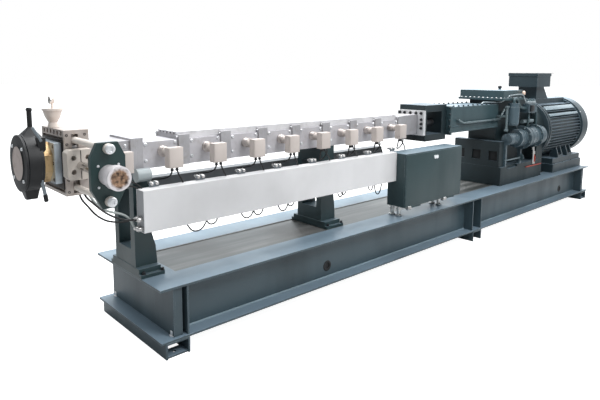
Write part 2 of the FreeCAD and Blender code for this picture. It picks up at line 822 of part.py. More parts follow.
export("cabinet_body", [join(body_parts)])
export("cabinet_door", [join(door_parts)])
clasp_z = cab_z1 - clasp_drop
clasp_x = cab_x0 + cabinet_length / 2
clasp = join([rod((clasp_x + dx, cabinet_front_y - clasp_depth, clasp_z), (0, 1, 0),
                  clasp_radius, clasp_depth) for dx in (-clasp_half_pitch, clasp_half_pitch)])
export("cabinet_clasp", [clasp])
cab_feet = [rod((x, y, bed_top), (0, 0, 1), cabinet_foot_radius, cabinet_bottom_z - bed_top)
            for x in (cab_x0 + cabinet_foot_start, cab_x1 - cabinet_foot_end)
            for y in (cabinet_front_y + cabinet_foot_front, cab_y1 - cabinet_foot_back)]
export("cabinet_feet", cab_feet)

# Flange that the barrel bolts to, and the open lantern behind it
flange_x = at(mount_flange_x)
lantern_x0 = flange_x + mount_flange_length
lantern_x1 = lantern_x0 + lantern_length
mount_flange = box(flange_x, lantern_x0, -mount_flange_width / 2, mount_flange_width / 2,
                   mount_flange_bottom_z, mount_flange_top_z)
export("barrel_mounting_flange", [mount_flange])
lantern = box(lantern_x0, lantern_x1, -lantern_width / 2, lantern_width / 2,
              lantern_bottom_z, lantern_top_z)
window_x0 = lantern_x0 + lantern_window_start
window_x1 = lantern_x0 + lantern_window_end
lantern = lantern.cut(box(window_x0, window_x1, -lantern_width / 2, lantern_width / 2,
                          lantern_bottom_z + lantern_wall, lantern_top_z - lantern_wall))
export("coupling_lantern", [lantern])
export("screw_couplings", [rod((window_x0, side * screw_y, axis_z), (1, 0, 0), coupling_radius,
                               window_x1 - window_x0) for side in (-1, 1)])

# Gear housing with its front flange
gear_x0 = at(gearbox_start_x)
gear_x1 = at(gearbox_end_x)
body_x0 = gear_x0 + gearbox_front_length
body_x1 = at(gearbox_body_end_x)
rim = housing_flange_rim
housing = join([box(lantern_x1, lantern_x1 + housing_flange_length,
                    -housing_width / 2 - rim, housing_width / 2 + rim,
                    housing_bottom_z - rim, housing_top_z + rim),
                box(lantern_x1, body_x0, -housing_width / 2, housing_width / 2,
                    housing_bottom_z, housing_top_z)])
export("gear_housing", [housing])

# Gearbox base: a block with a lifting slot, a front wall with panels, and the tall body
base = box(gear_x0, gear_x1, -gearbox_width / 2, gearbox_width / 2, bed_top, gearbox_step_z)
for side in (-1, 1):
    y0 = min(side * gearbox_width / 2, side * (gearbox_width / 2 - gearbox_slot_depth))
    base = base.cut(box(gear_x0 + gearbox_slot_start, gear_x0 + gearbox_slot_end,
                        y0, y0 + gearbox_slot_depth, gearbox_step_z - gearbox_slot_height,
                        gearbox_step_z))
wall = box(gear_x0, body_x0, -gearbox_front_width / 2, gearbox_front_width / 2,
           gearbox_step_z, gearbox_front_top_z)
for y in gearbox_panels_y:
    wall = wall.cut(box(gear_x0, gear_x0 + gearbox_panel_depth, y - gearbox_panel_width / 2,
                        y + gearbox_panel_width / 2, gearbox_panel_bottom_z,
                        gearbox_panel_top_z))
export("gearbox_base", [base])
export("gearbox_front_wall", [wall])
export("gearbox_body", [box(body_x0, body_x1, -gearbox_body_width / 2, gearbox_body_width / 2,
                            gearbox_step_z, gearbox_body_top_z)])

# End casing of the gearbox: an upright plate with an arched top
half = casing_radius
arch = Part.Arc(FreeCAD.Vector(body_x1, -half, casing_arc_z),
                FreeCAD.Vector(body_x1, 0, casing_arc_z + half),
                FreeCAD.Vector(body_x1, half, casing_arc_z)).toShape()
sides = [FreeCAD.Vector(body_x1, half, casing_arc_z), FreeCAD.Vector(body_x1, half, gearbox_step_z),
         FreeCAD.Vector(body_x1, -half, gearbox_step_z), FreeCAD.Vector(body_x1, -half, casing_arc_z)]
casing = Part.Face(Part.Wire([arch] + Part.makePolygon(sides).Edges)).extrude(
    FreeCAD.Vector(gear_x1 - body_x1, 0, 0))
export("gearbox_end_casing", [casing])

# Top cover of the gearbox with its lip and breather
cover_x0 = at(cover_start_x)
cover_x1 = cover_x0 + cover_length
cover = [box(cover_x0, cover_x1, -cover_width / 2, cover_width / 2,
             gearbox_body_top_z, gearbox_body_top_z + cover_height),
         box(cover_x0 - cover_lip, cover_x1 + cover_lip, -cover_width / 2 - cover_lip,
             cover_width / 2 + cover_lip, gearbox_body_top_z,
             gearbox_body_top_z + cover_lip_height)]
breather_x = cover_x1 - breather_inset
cover.append(rod((breather_x, 0, gearbox_body_top_z + cover_height), (0, 0, 1),
                 breather_radius, breather_height))
export("gearbox_cover", [join(cover)])

# Oil pump set: motor, bell, flanges and casing on one line, on two legs
sections = [rod((at(x0), pump_y, pump_z), (1, 0, 0), radius, x1 - x0)
            for x0, x1, radius in pump_sections]
leg_y0 = -gearbox_width / 2
for x in pump_legs_x:
    sections.append(box(at(x) - pump_leg_length / 2, at(x) + pump_leg_length / 2, leg_y0,
                        leg_y0 + pump_leg_width, gearbox_step_z, pump_z))
export("oil_pump", [join(sections)])

# Oil filter hung on the gearbox body, and the dipstick tube on the gear housing
can_middle = at(filter_x)
oil_filter = [rod((can_middle, pump_y, filter_bottom_z), (0, 0, 1), filter_cap_radius,
                  filter_top_z - filter_bottom_z),
              rod((can_middle, pump_y, filter_bottom_z + filter_cap), (0, 0, 1), filter_radius,
                  filter_top_z - filter_bottom_z - 3 * filter_cap),
              box(can_middle - filter_bracket_length / 2, can_middle + filter_bracket_length / 2,
                  pump_y, -gearbox_body_width / 2, filter_bracket_z,
                  filter_bracket_z + filter_bracket_height)]
export("oil_filter", [join(oil_filter)])
stick_x = at(dipstick_x)
dipstick = [rod((stick_x, pump_y, dipstick_bottom_z), (0, 0, 1), dipstick_radius,
                dipstick_top_z - dipstick_bottom_z)]
for z in (dipstick_bottom_z, dipstick_top_z - dipstick_knob):
    dipstick.append(rod((stick_x, pump_y, z), (0, 0, 1), dipstick_knob, dipstick_knob))
dipstick.append(box(stick_x - dipstick_radius / 2, stick_x + dipstick_radius / 2,
                    pump_y, -housing_width / 2, feed_pipe_z + 2 * pipe_radius,
                    feed_pipe_z + 4 * pipe_radius))

# Oil valve block and the return pipe under it, on arms from the gearbox body
valve_arm_x = at((valve_x0 + valve_x1) / 2)
valve = join([box(at(valve_x0), at(valve_x1), pump_y - valve_depth / 2, pump_y + valve_depth / 2,
                  valve_z0, valve_z1),
              box(valve_arm_x - filter_bracket_length, valve_arm_x + filter_bracket_length,
                  pump_y, -gearbox_body_width / 2, valve_z0, valve_z0 + filter_bracket_height)])
return_pipe = join([rod((at(return_pipe_x0), pump_y, return_pipe_z), (1, 0, 0), return_pipe_radius,
                        return_pipe_x1 - return_pipe_x0),
                    box(valve_arm_x - pipe_radius, valve_arm_x + pipe_radius, pump_y,
                        -gearbox_body_width / 2, return_pipe_z - pipe_radius,
                        return_pipe_z + pipe_radius)])
export("oil_valve_block", [valve])

# Oil feed pipe out of the gear housing, along it on two clips and up into the filter
feed_x0 = at(feed_pipe_x0)
feed_x1 = at(feed_pipe_x1)
filter_side = can_middle - filter_radius / 2
start_x = feed_x0 - feed_start_run
start_z = feed_pipe_z + feed_start_rise
feed = [rod((feed_x0, feed_pipe_y, feed_pipe_z), (1, 0, 0), pipe_radius, feed_x1 - feed_x0),
        rod((start_x, feed_pipe_y, start_z), (feed_start_run, 0, -feed_start_rise), pipe_radius,
            math.hypot(feed_start_run, feed_start_rise)),
        rod((start_x, feed_pipe_y, start_z), (0, 1, 0), pipe_radius,
            -housing_width / 2 - feed_pipe_y),
        rod((feed_x1, feed_pipe_y, feed_pipe_z), (filter_side - feed_x1, 0, feed_pipe_rise),
            pipe_radius, math.hypot(filter_side - feed_x1, feed_pipe_rise))]
for x, z in ((start_x, start_z), (feed_x0, feed_pipe_z), (feed_x1, feed_pipe_z)):
    feed.append(Part.makeSphere(pipe_radius, FreeCAD.Vector(x, feed_pipe_y, z)))
for x in (feed_x0 + feed_clip_start, feed_x1 - feed_clip_end):
    feed.append(box(x, x + 3 * pipe_radius, feed_pipe_y - pipe_radius, -housing_width / 2,
                    feed_pipe_z - pipe_radius, feed_pipe_z + pipe_radius))
export("oil_pipes", [join(feed), return_pipe, join(dipstick)])

# Main motor: finned body with a flat top, on ribbed feet
motor_x0 = at(motor_start_x)
motor_x1 = motor_x0 + motor_length
fin_x0 = motor_x0 + motor_end_ring
fin_x1 = motor_x1 - motor_end_ring
motor = [rod((motor_x0, 0, motor_axis_z), (1, 0, 0), motor_core_radius, motor_length),
         rod((motor_x0, 0, motor_axis_z), (1, 0, 0), motor_radius, motor_end_ring),
         rod((fin_x1, 0, motor_axis_z), (1, 0, 0), motor_radius, motor_end_ring),
         box(fin_x0, fin_x1, -motor_flat_half, motor_flat_half, motor_axis_z, motor_flat_z)]
for n in range(-motor_side_fins, motor_side_fins + 1):
    z = motor_axis_z + n * motor_fin_pitch
    tip = math.sqrt(motor_radius ** 2 - (abs(n) * motor_fin_pitch + motor_fin / 2) ** 2)
    motor.append(box(fin_x0, fin_x1, -tip, tip, z - motor_fin / 2, z + motor_fin / 2))
for n in range(-motor_bottom_fins, motor_bottom_fins + 1):
    y = n * motor_fin_pitch
    tip = math.sqrt(motor_radius ** 2 - (abs(y) + motor_fin / 2) ** 2)
    motor.append(box(fin_x0, fin_x1, y - motor_fin / 2, y + motor_fin / 2,
                     motor_axis_z - tip, motor_axis_z))
export("motor_body", [join(motor)])


def turned(points):
    """A turned piece about the motor's axis, from places along it and radii."""
    corners = [(points[0][0], 0)] + points + [(points[-1][0], 0)]
    return Part.Face(ring_wire([(x, 0, motor_axis_z + r) for x, r in corners])).revolve(
        FreeCAD.Vector(0, 0, motor_axis_z), FreeCAD.Vector(1, 0, 0), 360)


bell = turned([(gear_x1, bell_radius), (gear_x1 + bell_flange, bell_radius),
               (gear_x1 + bell_flange, bell_neck_radius),
               (motor_x0 - bell_flange, bell_neck_radius),
               (motor_x0 - bell_flange, bell_radius), (motor_x0, bell_radius)])
export("coupling_bell", [bell])
cowl_x1 = motor_x1 + cowl_length
cowl = turned([(motor_x1, cowl_radius), (cowl_x1 - cowl_round, cowl_radius),
               (cowl_x1 - cowl_round * 0.3, cowl_radius - cowl_round * 0.3),
               (cowl_x1, cowl_radius - cowl_round)])
export("motor_cowl", [cowl])
pedestal_x0 = at(pedestal_start_x)
pedestal_x1 = pedestal_x0 + pedestal_length
half = pedestal_width / 2
pedestal = join([box(pedestal_x0, pedestal_x1, -half, half, bed_top, pedestal_step_z),
                 box(pedestal_x0 + pedestal_inset, pedestal_x1 - pedestal_inset,
                     -half + pedestal_inset, half - pedestal_inset,
                     pedestal_step_z, pedestal_top_z)])
pedestal = pedestal.cut(rod((motor_x1 - cowl_clearance, 0, motor_axis_z), (1, 0, 0),
                            cowl_radius + cowl_clearance, cowl_length + 2 * cowl_clearance))
export("motor_pedestal", [pedestal])
legs = []
reach = motor_radius + seat
for x in motor_feet_x:
    for side in (-1, 1):
        leg_x = at(x)
        flank = [(side * motor_foot_inner, pedestal_top_z), (side * motor_foot_half, pedestal_top_z),
                 (side * motor_foot_half, pedestal_top_z + motor_foot_plate),
                 (side * motor_foot_rise_y, motor_foot_rise_z),
                 (side * motor_foot_inner, motor_foot_rise_z)]
        pieces = [box(leg_x, leg_x + motor_foot_length,
                      min(side * motor_foot_inner, side * motor_foot_half),
                      max(side * motor_foot_inner, side * motor_foot_half),
                      pedestal_top_z, pedestal_top_z + motor_foot_plate)]
        for rib_x in (leg_x, leg_x + motor_foot_length - motor_foot_rib):
            pieces.append(prism([(rib_x, y, z) for y, z in flank], (1, 0, 0), motor_foot_rib))
        leg = join(pieces)
        legs.append(leg.cut(rod((leg_x - 1, 0, motor_axis_z), (1, 0, 0), reach,
                                motor_foot_length + 2)))
export("motor_feet", legs)

# Motor terminal box with its lid, on a neck that spreads onto the motor's flat
box_x0 = at(motor_box_start_x)
box_x1 = box_x0 + motor_box_length
half = motor_box_width / 2
lid_z = motor_box_top_z - motor_box_lid
neck_x = box_x0 + neck_start
neck = prism([(neck_x, -neck_width / 2, motor_flat_z),
              (neck_x + neck_foot_length, -neck_width / 2, motor_flat_z),
              (neck_x + neck_top_length, -neck_width / 2, motor_box_bottom_z),
              (neck_x, -neck_width / 2, motor_box_bottom_z)], (0, 1, 0), neck_width)
case = box(box_x0 + motor_box_lip, box_x1 - motor_box_lip, -half + motor_box_lip,
           half - motor_box_lip, motor_box_bottom_z, lid_z)
lid = box(box_x0, box_x1, -half, half, lid_z, motor_box_top_z)
export("motor_terminal_box", [join([neck, case, lid])])
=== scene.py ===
import math

import bmesh
import bpy
import mathutils
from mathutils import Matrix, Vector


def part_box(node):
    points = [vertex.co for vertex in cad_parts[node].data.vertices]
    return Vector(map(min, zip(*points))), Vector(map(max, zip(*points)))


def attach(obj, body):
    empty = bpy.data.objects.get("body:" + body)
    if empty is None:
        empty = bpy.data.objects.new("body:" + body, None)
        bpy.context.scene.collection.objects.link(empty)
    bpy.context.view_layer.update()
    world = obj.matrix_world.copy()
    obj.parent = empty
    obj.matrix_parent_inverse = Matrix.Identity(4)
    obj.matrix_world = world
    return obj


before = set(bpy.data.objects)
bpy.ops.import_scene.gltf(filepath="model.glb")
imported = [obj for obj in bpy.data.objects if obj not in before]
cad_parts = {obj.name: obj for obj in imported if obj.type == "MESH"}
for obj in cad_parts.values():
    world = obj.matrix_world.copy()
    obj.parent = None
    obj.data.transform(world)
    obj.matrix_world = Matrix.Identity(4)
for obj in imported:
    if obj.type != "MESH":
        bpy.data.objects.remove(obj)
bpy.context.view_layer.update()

# Camera: stands at the discharge end on the cabinet's side, at the height of a
# standing photographer, with the lens that the photograph was taken with.
camera_heading = math.radians(47.592)
camera_dip = math.radians(7.750)
camera_roll = math.radians(0.315)
bpy.ops.object.camera_add(location=(-4.1285, -2.8325, 1.5043))
camera = bpy.context.object
aim = (mathutils.Matrix.Rotation(camera_heading - math.pi / 2, 3, "Z")
       @ mathutils.Matrix.Rotation(math.pi / 2 - camera_dip, 3, "X")
       @ mathutils.Matrix.Rotation(camera_roll, 3, "Z"))
camera.rotation_euler = aim.to_euler()
camera.data.sensor_width = 36.0
camera.data.lens = 32.548
camera.data.shift_x = 0.00168
camera.data.shift_y = -0.09031
camera.data.clip_end = 200.0
bpy.context.scene.camera = camera
bpy.context.scene.view_settings.view_transform = "Standard"

# Leads: each heater's terminal box sends two black rubber leads down to the trunking,
# one into a gland behind its top edge and one straight in. At the drive end they are
# looped longer. Both ends are held, and they hang between them.
barrel_pitch = 0.287
first_box_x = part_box("heater_terminal_boxes")[0].x
box_x = [first_box_x + number * barrel_pitch for number in range(9)]
heater_lead_thickness = 0.009
lead_point_scale = 0.005  # a curve's measured box grows by its points' radius, so it is kept small
leads = []


def round_line(name, route, thickness, steps, point_scale=1.0):
    """A round curve whose line follows the points of its route."""
    curve = bpy.data.curves.new(name, "CURVE")
    curve.dimensions = "3D"
    curve.bevel_depth = thickness / 2 / point_scale
    curve.bevel_resolution = 3
    curve.resolution_u = steps
    curve.use_fill_caps = True
    line = curve.splines.new("NURBS")
    line.points.add(len(route) - 1)
    for point, place in zip(line.points, route):
        point.co = (*place, 1.0)
        point.radius = point_scale
    line.order_u = 3
    line.use_endpoint_u = True
    piece = bpy.data.objects.new(name, curve)
    bpy.context.collection.objects.link(piece)
    return piece


def lay_lead(name, route, thickness):
    """A rubber lead that is held at both ends and hangs between them."""
    lead = round_line(name, route, thickness, 8, lead_point_scale)
    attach(lead, "frame")
    leads.append(lead)


first_left = ((0.030, -0.222, 0.987), (0.030, -0.222, 0.960), (0.040, -0.215, 0.932),
              (0.070, -0.210, 0.915), (0.102, -0.212, 0.910), (0.120, -0.216, 0.894))
first_right = ((0.060, -0.222, 0.987), (0.061, -0.222, 0.962), (0.080, -0.216, 0.938),
               (0.115, -0.214, 0.922), (0.140, -0.218, 0.894))
short_left = ((0.030, -0.222, 0.987), (0.030, -0.222, 0.960), (0.024, -0.205, 0.934),
              (0.000, -0.172, 0.920), (-0.024, -0.134, 0.915), (-0.056, -0.128, 0.915),
              (-0.064, -0.160, 0.914), (-0.064, -0.188, 0.914))
short_right = ((0.060, -0.222, 0.987), (0.061, -0.222, 0.965), (0.072, -0.222, 0.940),
               (0.088, -0.219, 0.915), (0.098, -0.218, 0.894))
round_left = ((0.024, -0.222, 0.987), (0.016, -0.222, 0.965), (0.014, -0.218, 0.930),
              (0.026, -0.200, 0.906), (0.050, -0.194, 0.902), (0.072, -0.202, 0.918),
              (0.086, -0.214, 0.948), (0.080, -0.222, 0.972), (0.068, -0.222, 0.987))
round_right = ((0.044, -0.228, 0.987), (0.052, -0.230, 0.965), (0.075, -0.232, 0.935),
               (0.100, -0.226, 0.912), (0.108, -0.220, 0.894))
lead_pairs = [((first_left, 0.146), (first_right, 0.130))]
lead_pairs += [((short_left, 0.230), (short_right, 0.102))] * 4
lead_pairs += [((round_left, 0.217), (round_right, 0.115))] * 4
for number, pair in enumerate(lead_pairs):
    for side, (route, length) in zip(("left", "right"), pair):
        lay_lead("heater_lead_%s_%d" % (side, number), [(box_x[number] + x, y, z) for x, y, z in route],
                 heater_lead_thickness)

# Screen changer leads: two black leads and a pale hose come out under the head and
# sag to the glands in the open end of the trunking.
lay_lead("head_lead_low", [(-3.150, -0.140, 0.895), (-3.150, -0.160, 0.870), (-3.128, -0.180, 0.838),
                           (-3.098, -0.196, 0.790), (-3.050, -0.206, 0.752), (-2.994, -0.214, 0.736),
                           (-2.945, -0.225, 0.735), (-2.912, -0.231, 0.740), (-2.884, -0.232, 0.741)],
         0.010)
lay_lead("head_lead_high", [(-3.128, -0.140, 0.895), (-3.126, -0.165, 0.876), (-3.106, -0.190, 0.852),
                            (-3.072, -0.215, 0.812), (-3.030, -0.232, 0.778), (-2.975, -0.242, 0.753),
                            (-2.935, -0.254, 0.744), (-2.908, -0.261, 0.741), (-2.884, -0.262, 0.741)],
         0.010)
lay_lead("head_hose", [(-3.110, -0.150, 0.895), (-3.104, -0.170, 0.870), (-3.080, -0.200, 0.830),
                       (-3.040, -0.222, 0.802), (-3.000, -0.232, 0.790), (-2.955, -0.236, 0.770),
                       (-2.925, -0.234, 0.730), (-2.912, -0.232, 0.695), (-2.884, -0.232, 0.690)],
         0.012)

# Sensor leads: thin leads that leave the trunking through its floor, hang below it in
# slack loops and go back in. Each row gives a loop's start, span, sag and length.
sensor_loops = ((-2.620, 0.135, 0.046, 0.185), (-2.480, 0.090, 0.036, 0.133),
                (-2.250, 0.100, 0.036, 0.140), (-2.140, 0.090, 0.040, 0.140),
                (-1.960, 0.090, 0.040, 0.140), (-1.860, 0.070, 0.030, 0.107),
                (-1.412, 0.060, 0.032, 0.104), (-1.352, 0.060, 0.030, 0.100),
                (-1.085, 0.060, 0.032, 0.104), (-0.985, 0.095, 0.074, 0.213))
loop_line = ((0.0, 0.0), (0.10, 0.5), (0.25, 1.05), (0.50, 1.25), (0.75, 1.05), (0.90, 0.5), (1.0, 0.0))
sensor_rows_y = (-0.262, -0.236)
trunk_low, trunk_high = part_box("cable_trunking")
for number, (start, span, sag, length) in enumerate(sensor_loops):
    lay_lead("sensor_lead_%d" % number,
             [(start + along * span, sensor_rows_y[number % 2], trunk_low.z - drop * sag)
              for along, drop in loop_line],
             0.0085)

# Studio: a pale floor, a white surround that is darker on the near side, a soft lamp
# over the near side, a long one above and a faint one from the discharge end.
bpy.ops.mesh.primitive_plane_add(size=120.0, location=(0.0, 0.0, -0.001))
floor = bpy.context.object
floor.name = "studio_floor"


def feed(tree, entry, value):
    """Put a plain value, or what another node gives, into a node's entry."""
    if isinstance(value, bpy.types.NodeSocket):
        tree.links.new(value, entry)
    else:
        entry.default_value = value


def reckon(tree, operation, *values, kind="ShaderNodeMath"):
    """The result of a sum over values and other nodes' results."""
    node = tree.nodes.new(kind)
    node.operation = operation
    for entry, value in zip(node.inputs, values):
        feed(tree, entry, value)
    return node.outputs["Value"]


def remap(tree, value, low, high, out_low=0.0, out_high=1.0):
    """A value stretched from one range to another."""
    node = tree.nodes.new("ShaderNodeMapRange")
    for entry, number in (("From Min", low), ("From Max", high), ("To Min", out_low), ("To Max", out_high)):
        node.inputs[entry].default_value = number
    tree.links.new(value, node.inputs["Value"])
    return node.outputs["Result"]


floor_glow = 0.95
floor_white = bpy.data.materials.new("studio_floor_white")
floor_white.use_nodes = True
floor_tree = floor_white.node_tree
floor_shader = floor_tree.nodes["Principled BSDF"]
floor_seen = floor_tree.nodes.new("ShaderNodeLightPath").outputs["Is Camera Ray"]
for entry, value in (("Base Color", (0.5, 0.5, 0.5, 1.0)), ("Roughness", 0.85), ("Specular IOR Level", 0.0),
                     ("Emission Color", (1.0, 1.0, 1.0, 1.0)),
                     ("Emission Strength", reckon(floor_tree, "MULTIPLY", floor_seen, floor_glow))):
    feed(floor_tree, floor_shader.inputs[entry], value)
floor.data.materials.append(floor_white)

world = bpy.data.worlds.new("studio_white")
bpy.context.scene.world = world
world.use_nodes = True
sky = world.node_tree
sky_light = sky.nodes["Background"]
sky_light.inputs["Color"].default_value = (0.90, 0.96, 1.0, 1.0)
sky_way = sky.nodes.new("ShaderNodeTexCoord").outputs["Generated"]
sky_parts = sky.nodes.new("ShaderNodeSeparateXYZ")
sky.links.new(sky_way, sky_parts.inputs[0])
overhead = remap(sky, sky_parts.outputs["Z"], 0.0, 0.8, 0.10, 0.85)
far_away = reckon(sky, "DOT_PRODUCT", sky_way, (0.8, 0.6, 0.0), kind="ShaderNodeVectorMath")
behind = remap(sky, far_away, 0.2, 0.9, 0.0, 1.5)
sky.links.new(reckon(sky, "ADD", overhead, behind), sky_light.inputs["Strength"])
sky_white = sky.nodes.new("ShaderNodeBackground")
sky_white.inputs["Color"].default_value = (1.0, 1.0, 1.0, 1.0)
sky_ray = sky.nodes.new("ShaderNodeLightPath").outputs
sky_seen = reckon(sky, "MAXIMUM", sky_ray["Is Camera Ray"], sky_ray["Is Transmission Ray"])
sky_mix = sky.nodes.new("ShaderNodeMixShader")
for entry, given in zip(sky_mix.inputs, (sky_seen, sky_light.outputs[0], sky_white.outputs[0])):
    sky.links.new(given, entry)
sky.links.new(sky_mix.outputs[0], sky.nodes["World Output"].inputs["Surface"])

for place, length, width, energy, tilt, turn in (((-0.5, -5.2, 6.2), 2.6, 2.6, 370.0, 42.0, 0.0),
                                                 ((0.6, 1.2, 5.0), 9.0, 3.0, 520.0, -12.0, 0.0),
                                                 ((-6.0, -1.0, 4.0), 4.0, 4.0, 4.0, 55.0, -85.0)):
    bpy.ops.object.light_add(type="AREA", location=place)
    lamp = bpy.context.object
    lamp.data.shape = "RECTANGLE"
    lamp.data.size = length
    lamp.data.size_y = width
    lamp.data.energy = energy
    lamp.rotation_euler = (math.radians(tilt), 0.0, math.radians(turn))

# Bed: welded from rolled H-beams on channels in a grey-green machine enamel, rubbed bright
# and painted with a highlight along its edges, dirty in streaks, with a painted sheen on its tops.


def tone(red, green, blue):
    """A painted colour from its usual screen values."""
    return tuple(((c / 255 + 0.055) / 1.055) ** 2.4 if c > 10 else c / 3294.6
                 for c in (red, green, blue)) + (1.0,)


def noise(tree, coordinates, scale, detail=4.0, stretch=(1.0, 1.0, 1.0)):
    """Noise over the piece's own space, drawn out along an axis where asked."""
    mapping = tree.nodes.new("ShaderNodeMapping")
    mapping.inputs["Scale"].default_value = stretch
    tree.links.new(coordinates, mapping.inputs["Vector"])
    texture = tree.nodes.new("ShaderNodeTexNoise")
    texture.inputs["Detail"].default_value = detail
    texture.inputs["Scale"].default_value = scale
    tree.links.new(mapping.outputs["Vector"], texture.inputs["Vector"])
    return texture.outputs["Fac"]


def product(tree, first, *others):
    """Several values multiplied."""
    for other in others:
        first = reckon(tree, "MULTIPLY", first, other)
    return first


def brighten(tree, colour, value):
    """A colour made lighter or darker."""
    node = tree.nodes.new("ShaderNodeHueSaturation")
    tree.links.new(colour, node.inputs["Color"])
    feed(tree, node.inputs["Value"], value)
    return node.outputs["Color"]


def blend_colours(tree, share, first, second):
    """One colour laid over another by a mask."""
    node = tree.nodes.new("ShaderNodeMix")
    node.data_type = "RGBA"
    tree.links.new(share, node.inputs["Factor"])
    tree.links.new(first, node.inputs["A"])
    tree.links.new(second, node.inputs["B"])
    return node.outputs["Result"]


def edge_mask(tree, radius):
    """How near a hard edge is, and the normal rounded over it."""
    rounded = tree.nodes.new("ShaderNodeBevel")
    rounded.samples = 4
    rounded.inputs["Radius"].default_value = radius
    flat = tree.nodes.new("ShaderNodeNewGeometry")
    likeness = reckon(tree, "DOT_PRODUCT", rounded.outputs["Normal"], flat.outputs["Normal"],
                      kind="ShaderNodeVectorMath")
    return remap(tree, likeness, 0.995, 0.80), rounded.outputs["Normal"]


def open_group(name, entries):
    """A finish's node group with its entries and exits, and the piece's own space."""
    group = bpy.data.node_groups.new(name, "ShaderNodeTree")
    exits = {"Color": "Color", "Roughness": "Float", "Height": "Float", "Normal": "Vector"}
    for side, sockets in (("INPUT", entries), ("OUTPUT", exits)):
        for socket_name, kind in sockets.items():
            group.interface.new_socket(name=socket_name, in_out=side, socket_type="NodeSocket" + kind)
    space = group.nodes.new("ShaderNodeTexCoord").outputs["Object"]
    return group, group.nodes.new("NodeGroupInput").outputs, space


def close_group(group, colour, roughness, height, normal):
    """Lead a finish's colour, roughness, height and normal out of its group."""
    end = group.nodes.new("NodeGroupOutput")
    for entry, given in zip(end.inputs, (colour, roughness, height, normal)):
        group.links.new(given, entry)


enamel, asked, space = open_group("enamel_wear_and_sheen", {
    "Paint": "Color", "Worn Edge And Highlight": "Color", "Grime": "Color", "Top Sheen Tone": "Color", "Edge Wear And Highlight": "Float",
    "Grime Share": "Float", "Gloss": "Float", "Top Sheen Share": "Float"})
clouds = noise(enamel, space, 1.7, 5.0)
streaks = noise(enamel, space, 5.0, 6.0, (1.0, 1.0, 0.22))
chips = noise(enamel, space, 38.0, 5.0)
cloudy = brighten(enamel, asked["Paint"], remap(enamel, clouds, 0.3, 0.7, 0.86, 1.14))
dirt = product(enamel, remap(enamel, streaks, 0.50, 0.78), asked["Grime Share"])
soiled = blend_colours(enamel, dirt, cloudy, asked["Grime"])
# Edges: rubbed wear laid in a pale tone, which also stands as a painted highlight along them.
edge, rounded_normal = edge_mask(enamel, 0.004)
rubbed_and_highlit_edge = product(enamel, edge, asked["Edge Wear And Highlight"], remap(enamel, chips, 0.35, 0.62, 0.25, 1.0))
# Upward faces get a pale bluish tone painted on them as the sheen of the bright surround, a little patchy.
facing = enamel.nodes.new("ShaderNodeSeparateXYZ")
enamel.links.new(enamel.nodes.new("ShaderNodeNewGeometry").outputs["Normal"], facing.inputs[0])
top_sheen = product(enamel, remap(enamel, facing.outputs["Z"], 0.78, 0.98), asked["Top Sheen Share"],
                remap(enamel, clouds, 0.3, 0.7, 0.7, 1.0))
with_top_sheen = blend_colours(enamel, top_sheen, soiled, asked["Top Sheen Tone"])
close_group(enamel, blend_colours(enamel, rubbed_and_highlit_edge, with_top_sheen, asked["Worn Edge And Highlight"]),
            reckon(enamel, "ADD", asked["Gloss"], remap(enamel, streaks, 0.35, 0.75, -0.05, 0.14)),
            noise(enamel, space, 260.0, 3.0), rounded_normal)
# the pale bluish tone of the sheen painted on upward faces
top_sheen_tone = (0.342, 0.456, 0.565, 1.0)


def group_finish(name, group, values, metallic=0.0, relief=0.0002):
    """A material whose colour, roughness and relief come from a node group."""
    material = bpy.data.materials.new(name)
    material.use_nodes = True
    tree = material.node_tree
    shader = tree.nodes["Principled BSDF"]
    shader.inputs["Metallic"].default_value = metallic
    surface = tree.nodes.new("ShaderNodeGroup")
    surface.node_tree = group
    for key, value in values.items():
        surface.inputs[key].default_value = value
    bump = tree.nodes.new("ShaderNodeBump")
    bump.inputs["Strength"].default_value = 0.5
    bump.inputs["Distance"].default_value = relief
    tree.links.new(surface.outputs["Height"], bump.inputs["Height"])
    tree.links.new(surface.outputs["Normal"], bump.inputs["Normal"])
    tree.links.new(surface.outputs["Color"], shader.inputs["Base Color"])
    tree.links.new(surface.outputs["Roughness"], shader.inputs["Roughness"])
    tree.links.new(bump.outputs["Normal"], shader.inputs["Normal"])
    return material


def painted(name, paint, worn_edge_and_highlight, edge_wear_and_highlight=0.5, grime=(38, 40, 38), grime_share=0.35, gloss=0.4, top_sheen=0.0):
    """An enamel of one colour with its own dirt, worn edges with a painted highlight, and a pale sheen
    painted on its tops.
    """
    return group_finish(name, enamel, {"Paint": tone(*paint), "Worn Edge And Highlight": tone(*worn_edge_and_highlight),
                                       "Grime": tone(*grime), "Top Sheen Tone": top_sheen_tone, "Edge Wear And Highlight": edge_wear_and_highlight,
                                       "Grime Share": grime_share, "Gloss": gloss, "Top Sheen Share": top_sheen})


def finish(material, *names):
    """Give CAD nodes their finish."""
    for node_name in names:
        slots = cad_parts[node_name].data.materials
        if len(slots) == 0:
            slots.append(material)
        for number in range(len(slots)):
            slots[number] = material


bed_paint = painted("bed_paint", (60, 75, 82), (150, 168, 182), 0.6, (42, 48, 50), 0.45, 0.36, 0.48)
finish(bed_paint, "bed_flanges", "bed_webs", "deck_cross_members", "foot_channels")

# Anchor bolts: galvanised studs with washers and nuts through the bottom flange at the
# bed's four corners.
up = (0.0, 0.0, 0.0)
towards_near = (math.pi / 2, 0.0, 0.0)
towards_far = (-math.pi / 2, 0.0, 0.0)
towards_die = (0.0, -math.pi / 2, 0.0)
towards_drive = (0.0, math.pi / 2, 0.0)


def take(name):
    """Name the newest object and put its place into its mesh."""
    piece = bpy.context.object
    piece.name = name
    bpy.ops.object.transform_apply(location=True, rotation=True, scale=True)
    return piece


def deselect():
    """Leave nothing selected."""
    bpy.ops.object.select_all(action="DESELECT")


def bar(name, sides, radius, length, middle, turn=up):
    """A plain round or many-sided bar about its middle."""
    deselect()
    bpy.ops.mesh.primitive_cylinder_add(vertices=sides, radius=radius, depth=length, location=middle,
                                        rotation=turn)
    return take(name)


